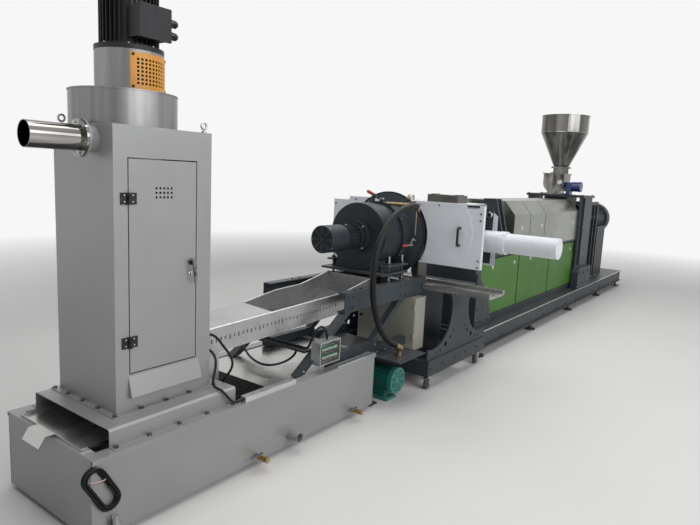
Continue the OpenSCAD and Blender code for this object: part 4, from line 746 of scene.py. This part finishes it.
drum_bolts = on_axis("cutter_motor", 2192, 106, (45, 135, 225, 315), "-x", 0.06)
rim = on_axis("cutter_housing", 2338, 240, (152, 208, -152, 92, 28))
chamber = on_axis("water_chamber", 2478, 247, (148, 205, 60, -30, -148))
face = around("cutter_housing", (2228, 0, AXIS_H), 205, "x", EIGHTHS, "-x", 0.03)
bolted("cutter_flange_bolts", drum_bolts, 8, zinc)
bolted("fan_cowl_screws", on_axis("cutter_motor", 1846, 93, (35, 125, 215, 305)), 4.5, zinc, pan_screw)
bolted("drum_rim_bolts", rim, 6, zinc, socket_screw)
bolted("chamber_bolts", chamber, 6, zinc, socket_screw)
bolted("drum_face_bolts", face, 6, cast_paint, socket_screw)
print(len(drum_bolts) + len(rim) + len(chamber), "bright bolts on the drums")

# %% [markdown]
# Thin turned rings edge the drums and seal the hood. The clamp lever's grip is
# turned about its own sloping line, so it needs no rotation afterwards.

# %% Rings, gasket and clamp lever
def ring_x(x, inner, outer, wide, steps=96):
    turned([(inner, 0), (outer, 0.6), (outer, wide - 0.6), (inner, wide)], standing(x, 0, AXIS_H, "+x"), steps)


ring_x(2356, 231, 236, 3)
ring_x(2456, 231, 249.5, 4)
ring_x(2589, 246, 249, 3)
piece("chamber_ring_edges", cast_paint)
ring_x(2640, 300, 321, 3.6)
piece("hood_gasket", rubber)

red_grip = finish("red_grip", (0.42, 0.03, 0.025), 0.4, shift=0.15, broad=40, grain=700, bump=0.05)
tip, root = Vector((2310, -21, 1441)), Vector((2482, -21, 1385))
along = (root - tip).normalized()
turned([(0, 0), (8, 1), (11.5, 7), (11.73, 24), (11.155, 44), (10.695, 68), (0, 71)],
       standing(*(tip - along * 11), along), 20)
slab((2393, -293, 1061.5), (2448, -279, 1076.5), bevel=5, segments=3)
piece("red_grips", red_grip)
for y in (-34, -8):
    slab((2474, y - 3, 1367), (2500, y + 3, 1398), bevel=2)
turned([(0, 0), (5, 0), (6, 2), (6, 40), (5, 42), (0, 42)], standing(2482, -42, 1385, "+y"), 14)
piece("lever_bracket", dark_steel)
print("rings, gasket and red grips")

# %% [markdown]
# The gauge on top shows the water pressure. Its case is a bright ring, and
# the dial behind the glass is white with plain tick marks and a needle.

# %% Pressure gauge
dial_white = finish("dial_white", (0.75, 0.75, 0.72), 0.5, shift=0.02, broad=30, grain=300, bump=0.01)
GAUGE = (2476, -287.4, 1407)
dial = standing(*GAUGE, "-y")
turned([(22, 0), (27.5, 0), (28.5, 3), (27, 6.5), (23.5, 7), (22, 4)], dial, 40)
piece("gauge_ring", mirror_steel)
turned([(0, 0.9), (22.3, 0.9), (22.3, 0.2)], dial, 40)
piece("gauge_dial", dial_white)
for k in range(11):
    tick = dial @ Matrix.Rotation(math.radians(-135 + 27 * k), 4, "Z")
    slab((-0.5, 16, 1.0), (0.5, 20.5, 1.5), tick, bevel=0)
slab((-0.7, -5, 1.6), (0.7, 15, 2.2), dial @ Matrix.Rotation(0.9, 4, "Z"), bevel=0)
turned([(0, 2.8), (2.2, 2.6), (2.6, 1)], dial, 14)
piece("gauge_needle", black_plastic)
turned([(20.4, 0), (23.6, 0), (24.2, 6), (23.6, 12), (20.4, 12)],
       standing(2381, -389.6, 1354.7, (-0.85, -0.5, 0.19)), 30)
piece("hose_clamp", mirror_steel)
print("gauge at", GAUGE)

# %% [markdown]
# The terminal box is open. Green screw terminals sit on its rails and short
# coloured wires leave them. A wire is a thin swept rod whose points go up,
# over and out of the box.

# %% Terminals and wires
terminal_green = finish("terminal_green", (0.03, 0.16, 0.07), 0.45, shift=0.1, broad=60, grain=700, bump=0.04)
label_white = finish("label_white", (0.7, 0.7, 0.68), 0.5, shift=0.03, broad=50, grain=500, bump=0.02)
BOX = (1408, -367, 432)
FRONT = BOX[1]
terminals = [(BOX[0] + 22 + 12.3 * k, BOX[2] + 30 + 48 * row) for row in (0, 1) for k in range(12)]
for x, z in terminals:
    slab((x, FRONT + 6, z + 2), (x + 11.4, FRONT + 26, z + 24), bevel=1.2)
piece("terminal_modules", terminal_green)
for x, z in terminals:
    slab((x + 2.5, FRONT + 4.6, z + 10), (x + 9, FRONT + 6.4, z + 16), bevel=0.4)
piece("terminal_marks", label_white)
for x, z in terminals:
    pan_screw(standing(x + 5.7, FRONT + 6, z + 20.5, "-y"), 2.2)
    pan_screw(standing(x + 5.7, FRONT + 6, z + 5.5, "-y"), 2.2)
piece("terminal_screws", zinc)
wire_colours = {"red_wires": (0.45, 0.02, 0.02), "blue_wires": (0.02, 0.06, 0.4), "yellow_wires": (0.5, 0.36, 0.03),
                "black_wires": (0.012, 0.012, 0.012)}


def wire_finish(name, colour, broad):
    return finish(name, colour, 0.4, shift=0.1, broad=broad, grain=700)


for n, (name, colour) in enumerate(wire_colours.items()):
    for x, z in terminals[n:12:4] + terminals[12 + n::4]:
        x, drop = x + 5.7, 6 + 3 * random.random()
        swept([(x, FRONT + 9, z + 3), (x, FRONT + 4, z), (x + 1, FRONT + 2.5, z - drop * 0.5),
               (x + 5, FRONT + 3, z - drop), (x + 14, FRONT + 6, z - drop - 1),
               (BOX[0] + 178, FRONT + 12, z - drop - 1)], 1.3)
    piece(name, wire_finish(name, colour, 50))
print(len(terminals), "terminals and as many wires")

# %% [markdown]
# ## Hood, cart and heater box
#
# The hood's plates are held by dark screws near their edges. Its side is open
# and shows the dark plate that carries the cylinder, with its oil port. The
# long round cover is pushed on the cylinder and held by three small screws.

# %% Hood screws, port and handle ends
hood_spots = grid("hood_front", 2648, -750, (947, 993, 1276, 1323), "-x", 0.05)
hood_spots += grid("hood_front", 2648, 530, (960, 1140, 1320), "-x", 0.05)
hood_spots += grid("hood_front", 2648, (-420, 330), 1364, "-x", 0.05)
bolted("hood_screws", hood_spots, 6, black_paint, socket_screw)
door_spots = [("hood_door", 2644, y, z, "-x", 0.05) for y, z in ((-310, 952), (-260, 1363))]
bolted("hood_door_screws", door_spots, 5, zinc, pan_screw)
bolted("handle_screws", grid("hood_handle", 2600, -600, (1090, 1214), "-x", 0.08), 4.5, zinc, socket_screw)
slab((2938.6, -716, 945), (2943.6, -480, 1372), bevel=1.2, segments=2)
piece("cylinder_plate", frame_paint)
turned([(13, 0.6), (13, 9), (15, 13), (21, 13), (24, 10), (25, 2), (26, 0)], standing(2938.4, -686, 1306, "-x"), 28)
piece("hydraulic_port", zinc)
# Painted shade: a black strip at the top corner of the hood front stands for the shaded slot there.
slab((2644.5, -738, 1366), (2648, -644, 1379), bevel=1.5, segments=2)
piece("hood_top_slot_shade", black_plastic)
CYLINDER_X = 2848
for y in (-848, -832):
    turned([(80, 0), (83.6, 0.4), (83.6, 2.2), (80, 2.6)], standing(CYLINDER_X, y, AXIS_H, "-y"), 96)
turned([(71, 0), (73.2, 0.6), (73.2, 3), (71, 3.4)], standing(CYLINDER_X, -1236, AXIS_H, "-y"), 96)
piece("cylinder_bands", white_paint)
cylinder_spots = around("cylinder_cover", (CYLINDER_X, -862, AXIS_H), 83, "y", (2.3, 4.4, 6.4), reach=0.05)
bolted("cylinder_screws", cylinder_spots, 4, black_paint, pan_screw)
for y in (-520, -325):
    slab((2712, y, 1439.5), (2834, y + 15, 1444), bevel=1.5)
piece("roof_cap_strips", dark_steel)
print("hood screws, port and bands")

# %% [markdown]
# The cart is welded and bolted plate: beads along its corners, bolts along
# its channels and a nut on each caster's axle. Its grey heater box has a
# door with two hinges and a quarter-turn lock.

# %% Cart and heater box
cart_bolts = [spot for y in (-484, 484)
              for spot in grid("cart_frame", (2560, 2760, 2960, 3160, 3360, 3500), y, 166, "y", 0.05)]
bolted("cart_bolts", cart_bolts, 8, frame_paint)
plate_bolts = grid("slide_plate", (2700, 2943), (-700, -400, 400), 764, reach=0.05)
bolted("slide_bolts", plate_bolts, 7, zinc, socket_screw)
axle_nuts = grid("caster_forks", (2576, 3416), (-470, 470), 40, "y", 0.05)
bolted("caster_axle_nuts", axle_nuts, 7, zinc)
for s in (-1, 1):
    swept([(x, s * 470.6, 229.6) for x in range(2532, 3524, 12)], 2.2, 0.5)
    swept([(x, s * 471, 708) for x in range(2782, 3272, 12)], 2.2, 0.5)
piece("cart_weld_beads", frame_paint)

for z in (370, 590):
    turned([(0, 0), (6, 0), (6, 42), (5, 44), (0, 44)], standing(2501, -352, z), 14)
    for dz in (14, 30):
        turned([(6.2, 0), (6.6, 0.4), (6.6, 1.4), (6.2, 1.8)], standing(2501, -352, z + dz), 14)
piece("heater_box_hinges", beige_paint)
lock = standing(2504, 122, 480, "-x")
turned([(0, 0), (13, 0), (14, 2), (14, 5), (12, 6.5), (9, 6.5), (8, 4), (0, 4)], lock, 28)
slab((-2, -7, 4), (2, 7, 6.4), lock, bevel=0.8)
piece("heater_box_lock", black_plastic)
bolted("heater_box_screws", grid("heater_box", 2513, (-338, 138), (302, 662), "-x", 0.05), 4.5, zinc, pan_screw)
print(len(cart_bolts) + len(plate_bolts), "bolts on the cart")

# %% [markdown]
# ## Extruder
#
# Quarter-turn latches close the steel covers and the green panels. Each is a
# round cup with a small tongue. Seams and folded edges divide the long covers.

# %% Latches and cover seams
def latch_cup(place, size):
    turned([(0, 1.0), (size, 1.0), (size * 1.02, 0)], place, 22)


def latch(place, size):
    turned([(size * 0.98, 0.4), (size, 3.0), (size * 1.15, 3.0), (size * 1.3, 1.4), (size * 1.32, 0)], place, 22)
    slab((-size * 0.34, -size * 0.8, 1.1), (size * 0.34, size * 0.8, 5.6),
         place @ Matrix.Rotation(random.uniform(-0.3, 0.9), 4, "Z"), bevel=1.2, segments=2)


cover_latches = grid("barrel_covers", (4634, 5218, 6392), (-322, 322), 1099, "y", 0.05)
panel_latches = grid("side_panels", (3998, 4539, 5001, 5440, 5830, 6415), (-308, 308), 758, "y", 0.05)
bolted("cover_latches", cover_latches, 17, bright_steel_and_highlight, latch)
bolted("panel_latches", panel_latches, 15, bright_steel_and_highlight, latch)
bolted("latch_cups", cover_latches + panel_latches, 16, dark_steel, latch_cup)
cover_line = [(-320, 884), (-320, 1235), (-205, 1369.5), (205, 1369.5), (320, 1235), (320, 884)]
for x in (4411, 4854, 4863, 5322, 5331, 6547):
    swept([(x, y, z) for y, z in cover_line], 2.2)
for first, last in ((4412, 4853), (4863, 5321), (5332, 6546)):
    for s in (-1, 1):
        swept([(x, s * 319.6, 1235) for x in (first, (first + last) / 2, last)], 1.6)
piece("cover_seams", cover_steel)
print(len(cover_latches) + len(panel_latches), "latches")

# %% [markdown]
# The bulkheads are clamped to the deck, the feed stand is welded and bolted,
# and cable slots pierce its plates. The slots are flat ovals inside a raised
# edge, painted near-black for the shade in them, because nothing behind them
# can be seen.

# %% Stand bolts and cable slots
LONG, WIDE = 34.0, 9.0
slot_ring = [(math.copysign(LONG / 2 - WIDE, math.cos(a)) + WIDE * math.cos(a), WIDE * math.sin(a))
             for a in evenly(24, 0.13)]
slot_places = [seat(key, x, s * y, z, side, 0.05) @ Matrix.Rotation(math.pi / 2, 4, "Z")
               for key, x, y, z in (("machine_body", 3757, 380, 406), ("feed_stand", 6864, 410, 362),
                                    ("feed_stand", 7040, 344, 570)) for s, side in ((-1, "-y"), (1, "+y"))]


def slot_outline(place, grow, high):
    return [bench.verts.new(place @ Vector((x * grow / 1000, y * grow / 1000, high))) for x, y in slot_ring]


# Painted shade: a flat near-black oval in each slot.
for place in slot_places:
    bench.faces.new(slot_outline(place, 1, 0.0004))
piece("cable_slot_painted_shade", painted_hole_shade, angle=60)
for place in slot_places:
    stitch([slot_outline(place, grow, high) for grow, high in ((1.0, 0.0003), (1.12, 0.0012), (1.22, 0.0))])
piece("cable_slot_edges", frame_paint, angle=60)
stand_bolts, body_bolts = [], []
for xs, y, z, reach in (((6560, 6760, 6990), 460, 290, 0.1), ((6560, 6760, 6990), 460, 440, 0.1),
                        (6600, 344, 700, 0.05), (6600, 344, 1270, 0.05)):
    stand_bolts += grid("feed_stand", xs, (-y, y), z, "y", reach)
stand_bolts += grid("feed_stand", (6590, 7055), (-345, 0, 345), 1432, reach=0.05)
for x, z in ((3640, 300), (3640, 420), (3640, 560), (3720, 290), (3880, 290)):
    body_bolts += grid("machine_body", x, (-384, 384), z, "y", 0.06)
base_bolts = grid("extruder_base", range(3700, 8900, 400), (-437, 437), 120, "y", 0.06)
bolted("stand_bolts", stand_bolts, 11, frame_paint)
bolted("body_bolts", body_bolts, 9, frame_paint)
bolted("base_bolts", base_bolts, 9, frame_paint)
head_bolts = [("bulkheads", 4088, y, z, "-x", 0.05) for y, z in
              ((-300, 920), (-255, 1060), (300, 920), (255, 1060), (-230, 1260), (230, 1260))]
bolted("bulkhead_bolts", head_bolts, 9, zinc)
# Bright strips: the long one on each side of the base's flange is partly bare edge, partly painted highlight where
# the edge catches light; the short ones are pale dashes on the feed stand.
for s in (-1, 1):
    slab((3562, s * 417, 234.6), (8944, s * 429.5, 237.4), bevel=1.2)
    for x, z in ((6710, 688), (6676, 1027)):
        slab((x - 16, s * 369, z - 3), (x + 16, s * 371.5, z + 3), bevel=0.8)
piece("bare_edge_and_highlight_strips", bright_steel_and_highlight)
print(len(stand_bolts) + len(body_bolts) + len(base_bolts) + len(head_bolts), "bolts on the extruder")

# %% [markdown]
# The hopper was rolled from polished sheet, so a weld seam runs down its cone
# and its drum. Small bolts join it to the feeder. The drive at the far end is
# bolted to the base and has an oil filler and a sight glass.

# %% Hopper, feeder and drive
HOPPER = (6729, 0)
toward = math.radians(-140)
for turn in (toward, toward + math.pi):
    c, s = math.cos(turn), math.sin(turn)
    cone = [(HOPPER[0] + (90.6 + 200 * t) * c, (90.6 + 200 * t) * s, 1783 + 434 * t)
            for t in (k / 40 for k in range(41))]
    drum = [(HOPPER[0] + 290.4 * c, 290.4 * s, z) for z in range(2222, 2424, 12)]
    swept(cone, 2.0, 0.4)
    swept(drum, 2.0, 0.4)
hoop((*HOPPER, 2217), 290, "z", 120, 2.2, 0.3)
piece("hopper_seams", mirror_steel)
throat = around("hopper", (*HOPPER, 1784), 112, "z", EIGHTHS, "+z", 0.02)
bolted("hopper_bolts", throat, 6.5, zinc)
feeder_bolts = grid("feeder_chamber", (6592, 6866), (-95, 175), 1446, reach=0.02)
feeder_bolts += grid("feeder_chamber", (6592, 6729, 6866), (-96, 176), 1696, reach=0.02)
feeder_bolts += grid("feeder_motor", (6690, 6778), -110, (1475, 1560), "-y", 0.2)
bolted("feeder_bolts", feeder_bolts, 6.5, zinc)
for x, y, z, side in ((6590, -40, 1590, "-x"), (6868, -40, 1590, "+x")):
    turned([(0, 1), (26, 1), (28, 4), (32, 5), (34, 2), (34, 0)], seat("feeder_chamber", x, y, z, side, 0.06), 32)
piece("feeder_windows", mirror_steel)
gear_bolts = grid("gearbox", (7330, 7420, 7580, 7740, 7805), (-225, 225), 1352, reach=0.3)
gear_bolts += grid("gearbox", (7290, 7560, 7830), (-300, 300), 277, reach=0.03)
bolted("gearbox_bolts", gear_bolts, 11, zinc)
turned([(0, 0), (26, 0), (26, 8), (20, 10), (20, 30), (24, 32), (24, 44), (18, 48), (0, 48)],
       seat("gearbox", 7500, 0, 1352, "+z", 0.3) @ Matrix.Translation((0, 0, -0.002)), 24)
piece("oil_filler", black_plastic)
turned([(0, 1.5), (18, 1.5), (20, 5), (24, 6), (26, 3), (26, 0)], seat("gearbox", 7400, -322, 620, "-y", 0.1), 28)
piece("oil_sight_glass", brass)
print(len(throat) + len(feeder_bolts) + len(gear_bolts), "bolts on hopper, feeder and gearbox")

# %% [markdown]
# The outlet pipe is flanged to its spigot with a dark gasket. The lock on the
# door has a cylinder with a keyhole, and the spare cable keeps its stripped
# wire ends tucked under the strands.

# %% Outlet flange, lock cylinder and wire ends
OUTLET = (-51, 1652)
outlet = around("outlet_pipe", (140, *OUTLET), 66, "x", evenly(6, 0.3), "-x", 0.02)
bolted("outlet_bolts", outlet, 5.5, zinc)
turned([(74, -0.6), (79.3, -0.4), (79.3, 0.4), (74, 0.6)], standing(150, *OUTLET, "-x"), 64)
piece("outlet_gasket", rubber)
hoop((204, *OUTLET), 52.5, "x", 48, 2.4, 0.5)
piece("spigot_weld", silver)
lock = standing(600, -204, 1052, "-y")
turned([(0, 4.4), (2.2, 4.4), (9, 4.6), (10.5, 3.6), (11, 0)], lock)
slab((-0.8, -4, 4.2), (0.8, 4, 5.0), lock, bevel=0.2)
piece("lock_cylinder", mirror_steel, body="tower_door")
for colour, lift, shade in (("white_wire", 0, (0.62, 0.6, 0.5)), ("red_wire", -3, (0.35, 0.02, 0.02))):
    swept([(-26, -393, 310 + lift), (-20, -398, 308 + lift), (-8, -400.5, 306 + lift), (6, -400.5, 304 + lift),
           (20, -400, 303 + lift), (33, -397, 301 + lift), (40, -391, 300 + lift)], 1.3)
    piece(colour + "_end", wire_finish(colour, shade, 60))
print("outlet, lock and wire ends")

# %% [markdown]
# ## Floor and light
#
# A plain pale floor shows the shadow of every foot and fades into the pale
# background with distance. Big soft lamps act like the bright roof windows of
# a hall. The world lights softly and is white where the camera, a mirror or
# clear plastic looks at it.

# %% Floor
floor_mesh = bpy.data.meshes.new("floor")
FLOOR_R = 60.0
edge = [place for place, out in ring((0, 0, 0), FLOOR_R, "z", evenly(64, 0))]
floor_mesh.from_pydata(edge, [], [range(64)])
floor = put("floor", floor_mesh)
pale = finish("pale_floor", (0.68, 0.672, 0.66), 0.6, shift=0.03, broad=0.6, grain=60, bump=0.02)
tree = pale.node_tree
spot = node(tree, "TexCoord").outputs["Object"]
distance = node(tree, "VectorMath", {0: spot}, operation="LENGTH").outputs["Value"]
glow = node(tree, "Emission", {0: (0.93, 0.93, 0.93, 1)})
paint = tree.nodes["Principled BSDF"].outputs[0]
fade = node(tree, "MixShader", {0: spread(tree, distance, 0, 1, 4.9, 10.5), 1: paint, 2: glow.outputs[0]})
feed(tree, tree.nodes["Material Output"], {"Surface": fade.outputs[0]})
floor_mesh.materials.append(pale)

# %% [markdown]
# Sun lamps would give hard shadows. Three area lamps, one overhead and two on
# the operator's side, keep the shadows soft and plain.

# %% Lamps and world
def lamp(name, place, aim, size, power, tint=(1, 1, 1)):
    data = bpy.data.lights.new(name, "AREA")
    data.shape = "RECTANGLE"
    data.size, data.size_y = size
    data.energy = power
    data.color = tint
    lit = put(name, data)
    lit.location = place
    lit.rotation_euler = (Vector(aim) - Vector(place)).to_track_quat("-Z", "Y").to_euler()


lamp("roof_light", (-1.0, 0.5, 6.5), (-1.0, 0.2, 0), (10, 4), 330, (1, 0.99, 0.97))
lamp("operator_light", (-1.5, -7.0, 4.2), (-1.2, 0, 0.9), (7, 3), 225)
lamp("front_light", (-4.9, -5.4, 3.6), (-1.4, -0.1, 1.1), (3, 2.4), 90)

world = bpy.data.worlds.new("hall")
bpy.context.scene.world = world
world.use_nodes = True
sky = world.node_tree
sky.nodes.clear()
soft_light = node(sky, "Background", {0: (0.9, 0.93, 1.0, 1), 1: 0.2})
seen = node(sky, "Background", {0: (0.93, 0.93, 0.93, 1), 1: 1.0})
rays = node(sky, "LightPath").outputs
either = node(sky, "Math", {0: rays["Is Camera Ray"], 1: rays["Is Glossy Ray"]}, operation="MAXIMUM")
also = node(sky, "Math", {0: either.outputs[0], 1: rays["Is Transmission Ray"]}, operation="MAXIMUM")
mix = node(sky, "MixShader", {0: also.outputs[0], 1: soft_light.outputs[0], 2: seen.outputs[0]})
node(sky, "OutputWorld", {0: mix.outputs[0]})
bpy.context.scene.view_settings.view_transform = "Standard"
print("three lamps and a pale world")
